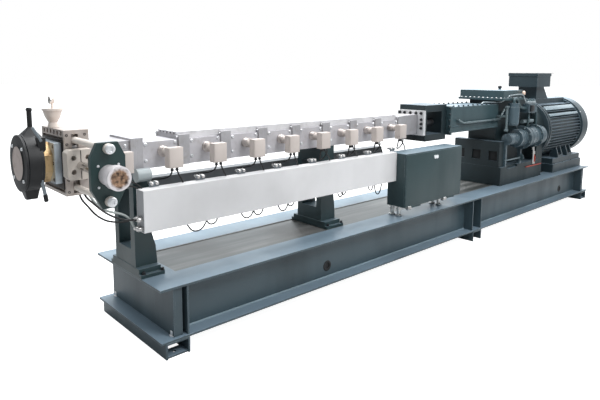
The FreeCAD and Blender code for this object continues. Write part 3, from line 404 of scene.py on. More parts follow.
def step_face(piece, towards, border, shift, sunk=False):
    """Inset the face that looks one way, then move it or sink it."""
    bpy.ops.object.mode_set(mode="EDIT")
    shell = bmesh.from_edit_mesh(piece.data)
    for face in shell.faces:
        face.select_set(face.normal.dot(mathutils.Vector(towards)) > 0.9)
    bmesh.update_edit_mesh(piece.data)
    bpy.ops.mesh.inset(thickness=border)
    if sunk:
        bpy.ops.mesh.extrude_region_move(TRANSFORM_OT_translate={"value": shift})
    else:
        bpy.ops.transform.translate(value=shift)
    bpy.ops.object.mode_set(mode="OBJECT")
    return piece


def ease(piece, width, segments=2):
    """Round a piece's edges and shade it smooth between the flats."""
    deselect()
    piece.select_set(True)
    bpy.context.view_layer.objects.active = piece
    rounding = piece.modifiers.new("edges", "BEVEL")
    rounding.width = width
    rounding.segments = segments
    rounding.angle_limit = math.radians(40.0)
    bpy.ops.object.modifier_apply(modifier="edges")
    bpy.ops.object.shade_smooth_by_angle(angle=math.radians(35.0))
    return piece


def join_as(name, pieces):
    """Several pieces as one object."""
    deselect()
    for piece in pieces:
        piece.select_set(True)
    bpy.context.view_layer.objects.active = pieces[0]
    if len(pieces) > 1:
        bpy.ops.object.join()
    pieces[0].name = name
    return pieces[0]


def turn_mesh(piece, turn):
    """Turn a piece's mesh about the origin."""
    piece.data.transform(mathutils.Euler(turn).to_matrix().to_4x4())


def dress(piece, material, body="frame"):
    """A finished piece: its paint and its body."""
    piece.data.materials.clear()
    piece.data.materials.append(material)
    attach(piece, body)


def shift_mesh(piece, place):
    """Put a piece's mesh at its place."""
    piece.data.transform(mathutils.Matrix.Translation(place))
    return piece


def set_out(name, master, places, material):
    """Copy a piece to each of its places, join the copies and dress them."""
    copies = []
    for place in places:
        twin = master.copy()
        twin.data = master.data.copy()
        bpy.context.collection.objects.link(twin)
        copies.append(shift_mesh(twin, place))
    bpy.data.objects.remove(master)
    dress(join_as(name, copies), material)


def both_sides(xs, y, zs):
    """Places at the same distance on the near and the far side."""
    return [(x, side * y, z) for x in xs for side in (-1, 1) for z in zs]


def turned_piece(name, profile, turn, sides=24):
    """A turned piece: a profile of (along, radius) in millimetres, spun about the origin."""
    deselect()
    mesh = bpy.data.meshes.new(name)
    piece = bpy.data.objects.new(name, mesh)
    bpy.context.collection.objects.link(piece)
    mesh.from_pydata([(radius / 1000, 0.0, along / 1000) for along, radius in profile],
                     [(n, n + 1) for n in range(len(profile) - 1)], [])
    piece.select_set(True)
    bpy.context.view_layer.objects.active = piece
    bpy.ops.object.mode_set(mode="EDIT")
    bpy.ops.mesh.select_all(action="SELECT")
    bpy.ops.mesh.spin(steps=sides, angle=2 * math.pi, center=(0.0, 0.0, 0.0), axis=(0.0, 0.0, 1.0))
    bpy.ops.mesh.select_all(action="SELECT")
    bpy.ops.mesh.remove_doubles(threshold=0.00001)
    bpy.ops.mesh.normals_make_consistent(inside=False)
    bpy.ops.object.mode_set(mode="OBJECT")
    turn_mesh(piece, turn)
    bpy.ops.object.shade_smooth_by_angle(angle=math.radians(35.0))
    return piece


def hex_bolt(name, radius, turn, washer=True):
    """A hexagon bolt head with its chamfered top, on a washer. Its radius is in millimetres."""
    radius = radius / 1000
    height = radius * 1.3
    head = bar(name, 6, radius, height, (0.0, 0.0, radius * 0.25 + height / 2))
    pieces = [step_face(head, (0, 0, 1), radius * 0.16, (0.0, 0.0, radius * 0.12))]
    if washer:
        pieces.append(bar(name + "_washer", 16, radius * 1.35, radius * 0.25, (0.0, 0.0, radius * 0.125)))
    bolt = join_as(name, pieces)
    turn_mesh(bolt, turn)
    return ease(bolt, radius * 0.05, 1)


bare_metal, asked, space = open_group("bare_metal", {
    "Metal": "Color", "Stain": "Color", "Stain Share": "Float", "Gloss": "Float"})
grain = noise(bare_metal, space, 90.0, 3.0, (1.0, 1.0, 9.0))
cloudy = brighten(bare_metal, asked["Metal"],
                  remap(bare_metal, noise(bare_metal, space, 7.0, 6.0), 0.3, 0.7, 0.88, 1.12))
spots = remap(bare_metal, noise(bare_metal, space, 24.0, 7.0), 0.52, 0.70)
stained = blend_colours(bare_metal, product(bare_metal, spots, asked["Stain Share"]), cloudy, asked["Stain"])
edge, rounded_normal = edge_mask(bare_metal, 0.002)
# Edges are painted 35 % brighter as a highlight along them.
close_group(bare_metal, blend_colours(bare_metal, edge, stained, brighten(bare_metal, stained, 1.35)),
            reckon(bare_metal, "ADD", asked["Gloss"], remap(bare_metal, grain, 0.3, 0.7, -0.06, 0.10)),
            grain, rounded_normal)


def metal(name, colour, stain=(90, 80, 70), stain_share=0.3, gloss=0.35, metallic=0.85):
    """A bare or plated metal with stains, a machined grain and a highlight painted along its edges."""
    return group_finish(name, bare_metal, {"Metal": tone(*colour), "Stain": tone(*stain),
                                           "Stain Share": stain_share, "Gloss": gloss},
                        metallic, 0.0001)


bolt_zinc = metal("bolt_zinc", (222, 223, 225), (140, 128, 114), 0.25, 0.32, 0.55)
bolt_black = metal("bolt_black", (44, 45, 48), (70, 60, 52), 0.3, 0.42, 0.5)
bed_low, bed_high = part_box("bed_flanges")
anchor_x = bed_high.x - 0.096
flange_thickness = 0.012
stud = turned_piece("anchor_stud", ((0, 0), (0, 9.5), (40, 9.5), (43, 7), (43, 0)), up, 12)
set_out("anchor_bolts", join_as("anchor_bolt", [hex_bolt("anchor_nut", 17, up), stud]),
        both_sides((-anchor_x, anchor_x), bed_high.y - 0.050, (bed_low.z + flange_thickness,)),
        bolt_zinc)

# Beam webs: a black grommet in each cable hole, and the weld along the bottom flange,
# painted pale as the highlight along it.
grommet_profile = ((-6, 0), (-6, 20.5), (0.8, 21.5), (3, 26), (3, 34), (0.8, 38), (-1, 38))
grommet_black = painted("grommet_black", (20, 22, 24), (50, 52, 54), 0.3, (40, 40, 38), 0.3, 0.55)
web_face = 0.3045
near_and_far = (("near", -1, towards_near), ("far", 1, towards_far))
for side_name, side, turn in near_and_far:
    set_out("web_grommets_" + side_name, turned_piece("web_grommet", grommet_profile, turn, 28),
            [(x, side * web_face, 0.178) for x in (-1.550, 2.278)], grommet_black)
weld_bead_highlight = painted("weld_bead_highlight", (120, 138, 148), (170, 184, 194), 0.5, (70, 78, 82), 0.4, 0.45)
beads = []
for start, end in ((-2.692, 0.2115), (0.3665, 2.692)):
    for side in (-1, 1):
        bead = bar("web_bead", 10, 0.0075, end - start, ((start + end) / 2, side * 0.3055, 0.1010),
                   towards_drive)
        beads.append(ease(bead, 0.0010, 1))
dress(join_as("web_weld_beads", beads), weld_bead_highlight)

# Deck: an unpainted hot-rolled sheet that is welded in between the beams, scuffed along
# its length by boots and tools.
rolled, asked, space = open_group("rolled_sheet", {"Sheet": "Color", "Scuff": "Color", "Shadow": "Color"})
long_streaks = noise(rolled, space, 9.0, 7.0, (0.10, 1.6, 1.0))
scuffed = blend_colours(rolled, remap(rolled, long_streaks, 0.42, 0.66), asked["Sheet"], asked["Scuff"])
shadows = remap(rolled, noise(rolled, space, 1.6, 5.0), 0.52, 0.78, 0.0, 0.75)
close_group(rolled, blend_colours(rolled, shadows, scuffed, asked["Shadow"]),
            remap(rolled, long_streaks, 0.3, 0.7, 0.34, 0.55), long_streaks, edge_mask(rolled, 0.002)[1])
deck_steel = group_finish("deck_steel", rolled, {"Sheet": tone(84, 86, 85), "Scuff": tone(128, 129, 128),
                                                 "Shadow": tone(66, 62, 58)}, 0.35, 0.0006)
finish(deck_steel, "deck_plate")

# Barrel posts: fabricated columns in the machine's green-grey enamel on stepped foot
# plates, bolted to the bed at the plates' corners.
machine_paint = painted("machine_paint", (40, 59, 62), (112, 132, 137), 0.45, (26, 30, 30), 0.35, 0.38, 0.22)
finish(machine_paint, "barrel_posts")
foot_plate_thickness = 0.020
set_out("post_foot_bolts", hex_bolt("post_bolt", 9, up),
        both_sides((-2.841, -2.729, -1.417, -1.279), 0.1780, (bed_high.z + foot_plate_thickness,)),
        bolt_black)
can_paint = painted("can_paint", (152, 160, 162), (190, 200, 204), 0.4, (96, 100, 100), 0.3, 0.35)
finish(can_paint, "support_can")

# Barrels: nickel-steel blocks bolted flange to flange, with aluminium heater shells and
# perforated guard covers over them, all bright and a little dusty.
barrel_steel = metal("barrel_steel", (176, 174, 177), (150, 142, 134), 0.35, 0.42, 0.55)
heater_aluminium = metal("heater_aluminium", (196, 194, 198), (160, 154, 148), 0.30, 0.45, 0.45)
guard_aluminium = metal("guard_aluminium", (224, 222, 224), (170, 165, 160), 0.25, 0.40, 0.45)
finish(barrel_steel, "barrel_sections", "head_adapter")
finish(heater_aluminium, "heater_shells")
finish(guard_aluminium, "heater_guards")


def round_screw(name, radius, turn):
    """A round-headed socket screw, its radius in millimetres."""
    profile = ((-1, 0), (-1, radius), (radius * 0.35, radius), (radius * 0.72, radius * 0.78),
               (radius * 0.85, radius * 0.5), (radius * 0.85, radius * 0.42),
               (radius * 0.35, radius * 0.40), (radius * 0.30, 0))
    return turned_piece(name, profile, turn, 14)


shell_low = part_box("heater_shells")[0]
shell_length = barrel_pitch - 0.074
adapter_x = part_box("head_adapter")[0].x
shell_screws = [(shell_low.x + number * barrel_pitch + x, -shell_low.y, z) for number in range(8)
                for x in (0.016, shell_length - 0.016) for z in (1.110, 1.020)]
adapter_screws = [(adapter_x + x, 0.118, z) for x in (0.155, 0.205) for z in (1.112, 1.030)]
for side_name, side, turn in near_and_far:
    set_out("panel_screws_" + side_name, round_screw("panel_screw", 10, turn),
            [(x, side * y, z) for x, y, z in shell_screws + adapter_screws], bolt_zinc)

# Flange bolts: four socket screws pull each pair of barrel flanges together, their
# heads on the discharge side above and below the heater shells.
flange_screw = bar("flange_screw", 16, 0.0045, 0.012, (0.0, 0.0, 0.006))
step_face(flange_screw, (0, 0, 1), 0.0018, (0.0, 0.0, -0.005), sunk=True)
turn_mesh(flange_screw, towards_die)
set_out("flange_screws", ease(flange_screw, 0.0006, 1),
        both_sides([-2.869 + number * barrel_pitch for number in range(1, 9)], 0.12416, (1.140, 0.988)),
        bolt_zinc)

# Terminal boxes: powder-coated cases on a ribbed conduit union, each closed by a lid with
# a raised middle, with two black glands below for its leads.
terminal_case = painted("terminal_case", (188, 178, 172), (222, 214, 208), 0.4, (150, 140, 132), 0.3, 0.5)
finish(terminal_case, "heater_terminal_boxes")
union_profile = ((0, 24), (0, 30), (4, 31), (12, 31), (14, 27), (18, 27), (19, 29), (22, 29), (23, 27),
                 (27, 27), (28, 29), (31, 29), (32, 27), (36, 27), (37, 29), (40, 29), (42, 24), (0, 24))
union_steel = metal("union_steel", (190, 182, 178), (96, 84, 76), 0.6, 0.36, 0.8)
set_out("heater_unions", turned_piece("union", union_profile, towards_near, 24),
        [(x + 0.026, shell_low.y, 1.067) for x in box_x], union_steel)


def block(name, size, middle=(0.0, 0.0, 0.0)):
    """A square-edged block about its middle."""
    deselect()
    bpy.ops.mesh.primitive_cube_add(size=1.0, location=middle, scale=size)
    return take(name)


lid = block("terminal_lid", (0.082, 0.003, 0.104), (0.0, -0.0015, 0.0))
step_face(lid, (0, -1, 0), 0.005, (0.0, -0.0015, 0.0))
set_out("terminal_lids", ease(lid, 0.0008), [(x + 0.044, -0.245, 1.041) for x in box_x],
        terminal_case)
box_gland_profile = ((0, 0), (0, 8.5), (10, 8.5), (11, 7), (14, 7), (15, 9.5), (22, 9.5), (26, 6.5),
                     (26, 0))
gland_x = [x + offset for x in box_x[:5] for offset in (0.030, 0.060)]
gland_x += [x + offset for x in box_x[5:] for offset in (0.030, 0.046)]
set_out("terminal_glands", turned_piece("box_gland", box_gland_profile, (math.pi, 0.0, 0.0), 12),
        [(x, -0.222, 0.991) for x in gland_x], bolt_black)

# Lead rubber: extruded black sheaths, a little greyed by heat and dust, and the pale
# skin of the one hose.
rubber_black = painted("rubber_black", (16, 16, 18), (60, 60, 62), 0.2, (40, 38, 36), 0.3, 0.5)
hose_grey = painted("hose_grey", (150, 156, 154), (170, 172, 170), 0.2, (90, 90, 88), 0.3, 0.45)
for lead in leads:
    lead.data.materials.append(hose_grey if lead.name == "head_hose" else rubber_black)

# Screen changer head: a machined block with a window in its front plate, warm with heat
# tint, its clamping screws sunk along both sides.
head_steel = metal("head_steel", (180, 170, 164), (160, 140, 118), 0.35, 0.42, 0.45)
slide_steel = metal("slide_steel", (176, 176, 178), (110, 96, 80), 0.4, 0.3, 0.85)
finish(head_steel, "head_body")
finish(slide_steel, "screen_slide")


def sunk_screw(name, radius, turn):
    """A socket screw sunk in a counterbore: a rim, a ring gap and the head."""
    profile = ((-1, radius), (1.2, radius), (1.2, radius * 0.82), (-0.8, radius * 0.80),
               (-0.8, radius * 0.70), (0.4, radius * 0.64), (0.4, radius * 0.36),
               (-0.8, radius * 0.34), (-0.8, 0))
    return turned_piece(name, profile, turn, 14)


head_low, head_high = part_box("head_body")
head_screws = [(x, z) for x in (head_low.x + 0.013, head_high.x - 0.020)
               for z in (0.915, 0.975, 1.035, 1.110, 1.150, 1.195)]
for (side_name, side, turn), face_y in zip(near_and_far, (head_low.y, head_high.y)):
    set_out("head_screws_" + side_name, sunk_screw("head_screw", 7, turn),
            [(x, face_y, z) for x, z in head_screws], bolt_black)
set_out("die_plate_screws", sunk_screw("die_plate_screw", 9, towards_die),
        both_sides((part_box("die_plate")[0].x,), 0.105, (0.975, 1.057, 1.139)), bolt_black)

# Die seat: a square seat on the head's discharge side, milled out inside a narrow rim and
# painted near black as the shade in its hollow.
die_seat = block("die_seat", (0.005, 0.284, 0.246), (head_low.x - 0.0015, 0.0, 1.050))
step_face(die_seat, (-1, 0, 0), 0.005, (0.002, 0.0, 0.0))
seat_painted_shade = metal("seat_painted_shade", (34, 30, 30), (92, 68, 48), 0.35, 0.5, 0.3)
dress(ease(die_seat, 0.0012), seat_painted_shade)

# Screen slide drive: a split coupling on the chromed ram, guided between two tie rods
# that carry the octagonal end plate.
coupling_paint = painted("coupling_paint", (184, 176, 168), (222, 216, 208), 0.5, (130, 118, 104), 0.4, 0.42)
rod_chrome = metal("rod_chrome", (215, 212, 210), (120, 110, 100), 0.15, 0.16, 1.0)
tie_rod_paint = painted("tie_rod_paint", (214, 206, 198), (236, 232, 226), 0.5, (130, 112, 96), 0.4, 0.36)
end_plate_paint = painted("end_plate_paint", (26, 50, 50), (90, 112, 112), 0.5, (20, 26, 26), 0.3, 0.36)
finish(coupling_paint, "ram_coupling")
finish(rod_chrome, "ram_rod")
finish(tie_rod_paint, "tie_rods")
finish(end_plate_paint, "ram_plate")
ram_x = -3.167
ram_z = 1.052
plate_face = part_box("ram_plate")[0].y
set_out("ram_plate_screws", round_screw("ram_plate_screw", 6, towards_near),
        [(ram_x + across, plate_face, ram_z + rise)
         for across in (-0.046, 0.046) for rise in (0.044, -0.050)], bolt_zinc)
nut_profile = ((-1, 0), (-1, 22.5), (3, 22.5), (6, 20), (8, 14), (7.5, 10), (3, 9), (2, 0))
nut_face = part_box("tie_rods")[0].y
set_out("tie_rod_caps", turned_piece("tie_rod_cap", nut_profile, towards_near, 20),
        [(ram_x, nut_face, ram_z + rise) for rise in (-0.1175, 0.1175)], bolt_zinc)
split = block("coupling_split", (0.003, 0.004, 0.140), (ram_x, -0.2290, 1.057))
dress(ease(split, 0.0012), bolt_black, "screen_changer_slide")

# Ram cylinder: a silver-painted tube and cap. The cap's bare end face has rusted in the
# middle and kept a bright rim.
cylinder_paint = painted("cylinder_paint", (222, 216, 218), (240, 238, 238), 0.6, (120, 104, 92), 0.4, 0.34)
cap_tree = cylinder_paint.node_tree
cap_shader = cap_tree.nodes["Principled BSDF"]
cap_shader.inputs["Metallic"].default_value = 0.35
cap_space = cap_tree.nodes.new("ShaderNodeTexCoord").outputs["Object"]
cap_centre = cap_tree.nodes.new("ShaderNodeMapping")
cap_centre.inputs["Location"].default_value = (-ram_x, 0.0, -ram_z)
cap_centre.inputs["Scale"].default_value = (1.0, 0.0, 1.0)
cap_tree.links.new(cap_space, cap_centre.inputs["Vector"])
cap_distance = reckon(cap_tree, "LENGTH", cap_centre.outputs["Vector"], kind="ShaderNodeVectorMath")
cap_normal = cap_tree.nodes.new("ShaderNodeNewGeometry").outputs["Normal"]
cap_facing = reckon(cap_tree, "DOT_PRODUCT", cap_normal, (0.0, -1.0, 0.0), kind="ShaderNodeVectorMath")
rust_noise = noise(cap_tree, cap_space, 55.0, 7.0)
rust_reach = reckon(cap_tree, "MULTIPLY_ADD", rust_noise, 0.030, cap_distance)
rust_mask = product(cap_tree, remap(cap_tree, rust_reach, 0.062, 0.050),
                    remap(cap_tree, cap_facing, 0.85, 0.95))
rust_colours = cap_tree.nodes.new("ShaderNodeValToRGB")
for element, rust, position in zip(rust_colours.color_ramp.elements, ((58, 44, 38), (176, 140, 112)),
                                   (0.36, 0.66)):
    element.color = tone(*rust)
    element.position = position
cap_tree.links.new(rust_noise, rust_colours.inputs["Fac"])
cap_tree.links.new(blend_colours(cap_tree, rust_mask, cap_tree.nodes["Group"].outputs["Color"],
                                 rust_colours.outputs["Color"]), cap_shader.inputs["Base Color"])
cap_bump = cap_tree.nodes["Bump"]
cap_bump.inputs["Strength"].default_value = 0.6
cap_bump.inputs["Distance"].default_value = 0.0008
cap_tree.links.new(rust_noise, cap_bump.inputs["Height"])
finish(cylinder_paint, "ram_cylinder")

# Die: a steel backing plate and the bronze-coloured die block, both tinted by heat and
# bolted to the head.
die_steel = metal("die_steel", (196, 206, 214), (120, 112, 104), 0.3, 0.36, 0.7)
die_bronze = metal("die_bronze", (206, 176, 132), (112, 78, 46), 0.7, 0.36, 0.8)
finish(die_steel, "die_plate")
finish(die_bronze, "die_block")

# Pelletiser hood: a black cast drum with a ring of cap screws round its pale knife
# disc, and two clamp bars that hold it against the die.
hood_paint = painted("hood_paint", (8, 9, 12), (66, 72, 80), 0.5, (24, 24, 26), 0.3, 0.5)
disc_steel = metal("disc_steel", (182, 168, 162), (120, 96, 84), 0.55, 0.45, 0.55)
finish(hood_paint, "pelletiser_hood")
finish(disc_steel, "hood_disc")
hood_axis_z = 1.057
hood_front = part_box("pelletiser_hood")[0].x


def ring_places(x, y, z, radius, angles):
    """Places on a circle across the machine, by their angles in degrees."""
    return [(x, y + radius * math.cos(math.radians(angle)), z + radius * math.sin(math.radians(angle)))
            for angle in angles]


set_out("hood_screws", round_screw("hood_screw", 8.5, towards_die),
        ring_places(hood_front, 0.0, hood_axis_z, 0.110, (45, 135, 225, 315)), bolt_zinc)
rim = turned_piece("hood_rim", ((-2, 83.5), (3, 83.5), (4.5, 86), (4.5, 89), (3, 91.5), (-2, 91.5),
                                (-2, 83.5)), towards_die, 48)
dress(shift_mesh(rim, (hood_front, 0.0, hood_axis_z)), hood_paint)


def divide(piece, cuts):
    """Divide all of a piece's faces evenly."""
    bpy.ops.object.mode_set(mode="EDIT")
    bpy.ops.mesh.select_all(action="SELECT")
    bpy.ops.mesh.subdivide(number_cuts=cuts)
    bpy.ops.object.mode_set(mode="OBJECT")


def clamp_bar(name, start, end, width, thickness, material):
    """A flat bar between two points, rounded along its edges and at both ends."""
    start = mathutils.Vector(start)
    end = mathutils.Vector(end)
    run = end - start
    piece = block(name, (thickness, width, run.length))
    divide(piece, 2)
    turn = run.to_track_quat("Z", "Y").to_matrix().to_4x4()
    piece.data.transform(mathutils.Matrix.Translation((start + end) / 2) @ turn)
    dress(ease(piece, thickness * 0.28), material)


bar_grey = painted("bar_grey", (112, 120, 126), (168, 174, 178), 0.6, (60, 62, 64), 0.3, 0.34)
clamp_bar("hood_clamp_upper", (-3.340, -0.100, 1.238), (-3.306, -0.112, 1.168), 0.013, 0.012,
          bar_grey)
clamp_bar("hood_clamp_lower", (-3.312, -0.100, 0.984), (-3.300, -0.104, 0.905), 0.016, 0.018,
          bar_grey)
clamp_bar("hood_clamp_foot", (-3.301, -0.103, 0.912), (-3.296, -0.105, 0.872), 0.020, 0.022,
          hood_paint)
lug = block("hood_hinge_lug", (1.0, 1.0, 1.0))
lug_y = -0.104
lug_width = 0.018
# each corner's x and z, by whether it lies towards the drive and whether it is a top one
lug_corners = {(False, False): (-3.313, 1.094), (True, False): (-3.287, 1.128),
               (False, True): (-3.331, 1.188), (True, True): (-3.286, 1.190)}
for vertex in lug.data.vertices:
    x, z = lug_corners[(vertex.co.x > 0, vertex.co.z > 0)]
    vertex.co = (x, lug_y + vertex.co.y * lug_width, z)
dress(ease(lug, 0.003, 3), hood_paint)
collar = turned_piece("spout_collar", ((0, 11.6), (0, 13.5), (4, 14), (10, 14), (12, 11.6), (0, 11.6)),
                      up, 20)
dress(shift_mesh(collar, (-3.322, 0.0, 1.310)), hood_paint)

# Vent cup and gauge: a cream enamelled cup on the head, its stem carrying a small dial
# gauge in a bright bezel.
cup_enamel = painted("cup_enamel", (224, 213, 205), (244, 238, 232), 0.5, (150, 128, 110), 0.45, 0.34)
finish(cup_enamel, "head_gauge")
gauge_centre = mathutils.Vector((-3.201, 0.060, 1.356))
bezel = turned_piece("gauge_bezel", ((-1, 17.2), (-1, 19.5), (4, 19.8), (6, 18.5), (6, 16), (3, 15.5),
                                     (3, 17.2), (-1, 17.2)), towards_die, 28)
dress(shift_mesh(bezel, gauge_centre), rod_chrome)
dial = turned_piece("gauge_dial", ((0.5, 0), (0.5, 15), (1.2, 15.4), (2.2, 15.4), (2.2, 0)),
                    towards_die, 28)
dial_face = painted("dial_face", (206, 206, 202), (206, 206, 202), 0.0, (90, 90, 90), 0.5, 0.3)
dress(shift_mesh(dial, gauge_centre), dial_face)
deselect()
bpy.ops.mesh.primitive_cone_add(vertices=8, radius1=0.0016, radius2=0.0003, depth=0.014,
                                location=(0.0, 0.0, 0.005))
needle = take("gauge_needle")
needle_turn = mathutils.Matrix.Rotation(math.radians(38.0), 4, "X")
needle.data.transform(mathutils.Matrix.Translation(gauge_centre + mathutils.Vector((-0.0032, 0.0, 0.0)))
                      @ needle_turn)
dress(needle, bolt_black)

# Cable trunking: folded sheet in pale grey enamel, closed at its open end by a plate painted a darker grey as
# the shade on that end, with four nickelled glands. More glands lie along its back top edge on low saddles.
trunking_paint = painted("trunking_paint", (206, 205, 206), (236, 238, 242), 0.4, (168, 165, 162), 0.12, 0.42)
finish(trunking_paint, "cable_trunking")
end_plate = block("trunking_end_plate", (0.002, 0.0735, 0.2165),
                  (trunk_low.x + 0.003, (trunk_low.y + trunk_high.y) / 2, (trunk_low.z + trunk_high.z) / 2))
step_face(end_plate, (-1, 0, 0), 0.006, (-0.0015, 0.0, 0.0))
# The end plate's darker grey is painted shade for the trunking's end.
trunk_end_shade_grey = painted("trunk_end_shade_grey", (150, 152, 156), (190, 192, 196), 0.4, (110, 108, 104), 0.3, 0.45)
dress(ease(end_plate, 0.0004, 1), trunk_end_shade_grey)
gland_nickel = metal("gland_nickel", (206, 204, 202), (110, 96, 84), 0.4, 0.28, 0.9)
end_gland_profile = ((0, 0), (0, 11.5), (8, 11.5), (9, 9), (13, 9), (14, 12.5), (24, 12.5), (30, 8.5),
                     (33, 7), (33, 0))
set_out("trunking_end_glands", turned_piece("end_gland", end_gland_profile, towards_die, 16),
        [(trunk_low.x + 0.002, y, z) for y in (-0.232, -0.262) for z in (0.741, 0.690)],
        gland_nickel)
top_gland_profile = ((-5, 0), (-4, 5), (0, 10), (8, 10), (9, 7.8), (14, 7.8), (15, 11.2), (28, 11.2),
                     (34, 7.8), (44, 6.8), (44, 0))
saddle_x = [x - 0.079 for x in box_x[1:5]] + [x - 0.055 for x in box_x[5:]]
set_out("trunking_top_glands", turned_piece("top_gland", top_gland_profile, towards_far, 12),
        [(x + offset, -0.230, 0.914) for x in saddle_x for offset in (0.015, -0.015)],
        gland_nickel)
saddle = block("gland_saddle", (0.056, 0.006, 0.026), (0.0, 0.0, 0.001))
step_face(saddle, (0, 0, 1), 0.001, (0.0, 0.0, 0.001))
set_out("gland_saddles", ease(saddle, 0.0006, 1), [(x, -0.220, trunk_high.z + 0.012) for x in saddle_x],
        bar_grey)

# Cooling manifold: a channel of rolled steel in grey paint, fixed along the far side of
# the posts.
manifold_paint = painted("manifold_paint", (104, 107, 110), (150, 153, 156), 0.4, (60, 60, 60), 0.4, 0.45)
finish(manifold_paint, "cooling_manifold")

# Control cabinet: a folded steel case with a drop-down door on two hinge knuckles, a
# double clasp and galvanised levelling feet.
cabinet_paint = painted("cabinet_paint", (43, 62, 65), (140, 158, 166), 0.5, (36, 47, 51), 0.3, 0.48, 0.36)
clasp_steel = metal("clasp_steel", (240, 243, 245), (170, 172, 174), 0.2, 0.24, 0.5)
foot_steel = metal("foot_steel", (222, 222, 220), (120, 112, 104), 0.3, 0.3, 0.7)
finish(cabinet_paint, "cabinet_body", "cabinet_door")
finish(clasp_steel, "cabinet_clasp")
finish(foot_steel, "cabinet_feet")
feet_low, feet_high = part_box("cabinet_feet")
foot_radius = 0.014
foot_profile = ((0, 0), (0, 24), (4, 26), (9, 26), (13, 17), (16, 14.5), (50, 14.5), (51, 21), (62, 21),
                (63, 14.5), (82, 14.5))
set_out("cabinet_levelling_feet", turned_piece("levelling_foot", foot_profile, up, 18),
        [(x, y, feet_low.z) for x in (feet_low.x + foot_radius, feet_high.x - foot_radius)
         for y in (feet_low.y + foot_radius, feet_high.y - foot_radius)], foot_steel)
door_low, door_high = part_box("cabinet_door")
door_skin = block("cabinet_door_skin", (door_high.x - door_low.x - 0.016, 0.004, 0.402),
                  ((door_low.x + door_high.x) / 2, door_low.y - 0.001, 0.679))
step_face(door_skin, (0, -1, 0), 0.006, (0.0, -0.001, 0.0))
dress(ease(door_skin, 0.0010), cabinet_paint, "cabinet_drop_door")
knuckle_profile = ((-13, 0), (-13, 6.5), (-21, 7.5), (-21, 13), (-18, 17.5), (18, 17.5), (21, 13), (21, 0))
set_out("cabinet_door_knuckles", turned_piece("door_knuckle", knuckle_profile, towards_drive, 20),
        [(x, -0.371, 0.463) for x in (-0.7255, -0.238)], gland_nickel)

# Barrel mounting flange: a pale machined plate with black bolts along its top and down
# both sides.
flange_steel = metal("flange_steel", (222, 221, 222), (150, 146, 142), 0.2, 0.42, 0.4)
finish(flange_steel, "barrel_mounting_flange")
flange_low, flange_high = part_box("barrel_mounting_flange")
top_bolts = [(flange_low.x, y, flange_high.z - 0.022) for y in (-0.112, -0.060, 0.0, 0.060, 0.112)]
set_out("mounting_flange_bolts", hex_bolt("mounting_bolt", 9.5, towards_die),
        top_bolts + both_sides((flange_low.x,), 0.116, (1.105, 1.068, 1.030)), bolt_black)

# Coupling lantern and gear housing: ribbed castings in the drive's grey enamel, with the
# two screw couplings turning inside the window.
drive_paint = painted("drive_paint", (54, 74, 79), (140, 158, 166), 0.6, (34, 40, 42), 0.4, 0.34, 0.4)
# A darker copy of the drive enamel with shade painted in, for the lantern, the gearbox below the cover and
# several bolts.
drive_paint_shaded = painted("drive_paint_shaded", (26, 40, 44), (112, 128, 134), 0.6, (16, 20, 22), 0.45, 0.48, 0.3)
shaft_steel = metal("shaft_steel", (120, 120, 124), (50, 44, 40), 0.6, 0.35, 0.9)
finish(drive_paint, "gear_housing", "gearbox_cover")
finish(drive_paint_shaded, "coupling_lantern")
finish(shaft_steel, "screw_couplings")
sleeve_profile = ((-30, 26), (-30, 29), (-28, 29.5), (-16, 29.5), (-15, 27.5), (15, 27.5), (16, 29.5),
                  (28, 29.5), (30, 29), (30, 26), (-30, 26))
set_out("coupling_sleeves", turned_piece("coupling_sleeve", sleeve_profile, towards_drive, 24),
        both_sides((-0.064,), 0.029, (1.064,)), shaft_steel)
set_out("housing_flange_bolts", hex_bolt("housing_bolt", 8.5, towards_die),
        both_sides((0.119,), 0.176, (0.975, 1.030, 1.085, 1.140, 1.193)), drive_paint_shaded)


def rib_set(name, places, size, material):
    """Thin plates with eased edges: cast ribs, and the black plates painted as shade in recesses."""
    rib = block(name + "_rib", size)
    divide(rib, 1)
    set_out(name, ease(rib, min(size) * 0.25), places, material)


for rib_name, rib_y, rib_z, rib_width, rib_height in (("housing_joint_rib", 0.1715, 1.020, 0.010, 0.014),
                                                      ("housing_foot_rib", 0.1715, 0.974, 0.008, 0.012),
                                                      ("housing_top_rail", 0.162, 1.196, 0.014, 0.008)):
    rib_set(rib_name, both_sides((0.572,), rib_y, (rib_z,)), (0.850, rib_width, rib_height), drive_paint)
set_out("housing_top_bolts", hex_bolt("top_bolt", 8.5, up),
        both_sides([0.20 + 0.083 * n for n in range(10)], 0.158, (1.199,)), drive_paint_shaded)

# Gearbox: cast base, front wall with black plates painted as the shade in its recesses, tall body
# and arched end casing, with a bolted cover, lifting eyes and a breather.
# The base, front wall, body and end casing take the darker copy of the drive enamel, painted as shade.
finish(drive_paint_shaded, "gearbox_base", "gearbox_front_wall", "gearbox_body", "gearbox_end_casing")
recess_painted_shade = painted("recess_painted_shade", (5, 6, 8), (20, 24, 26), 0.1, (4, 4, 4), 0.3, 0.6)
wall_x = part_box("gearbox_front_wall")[0].x
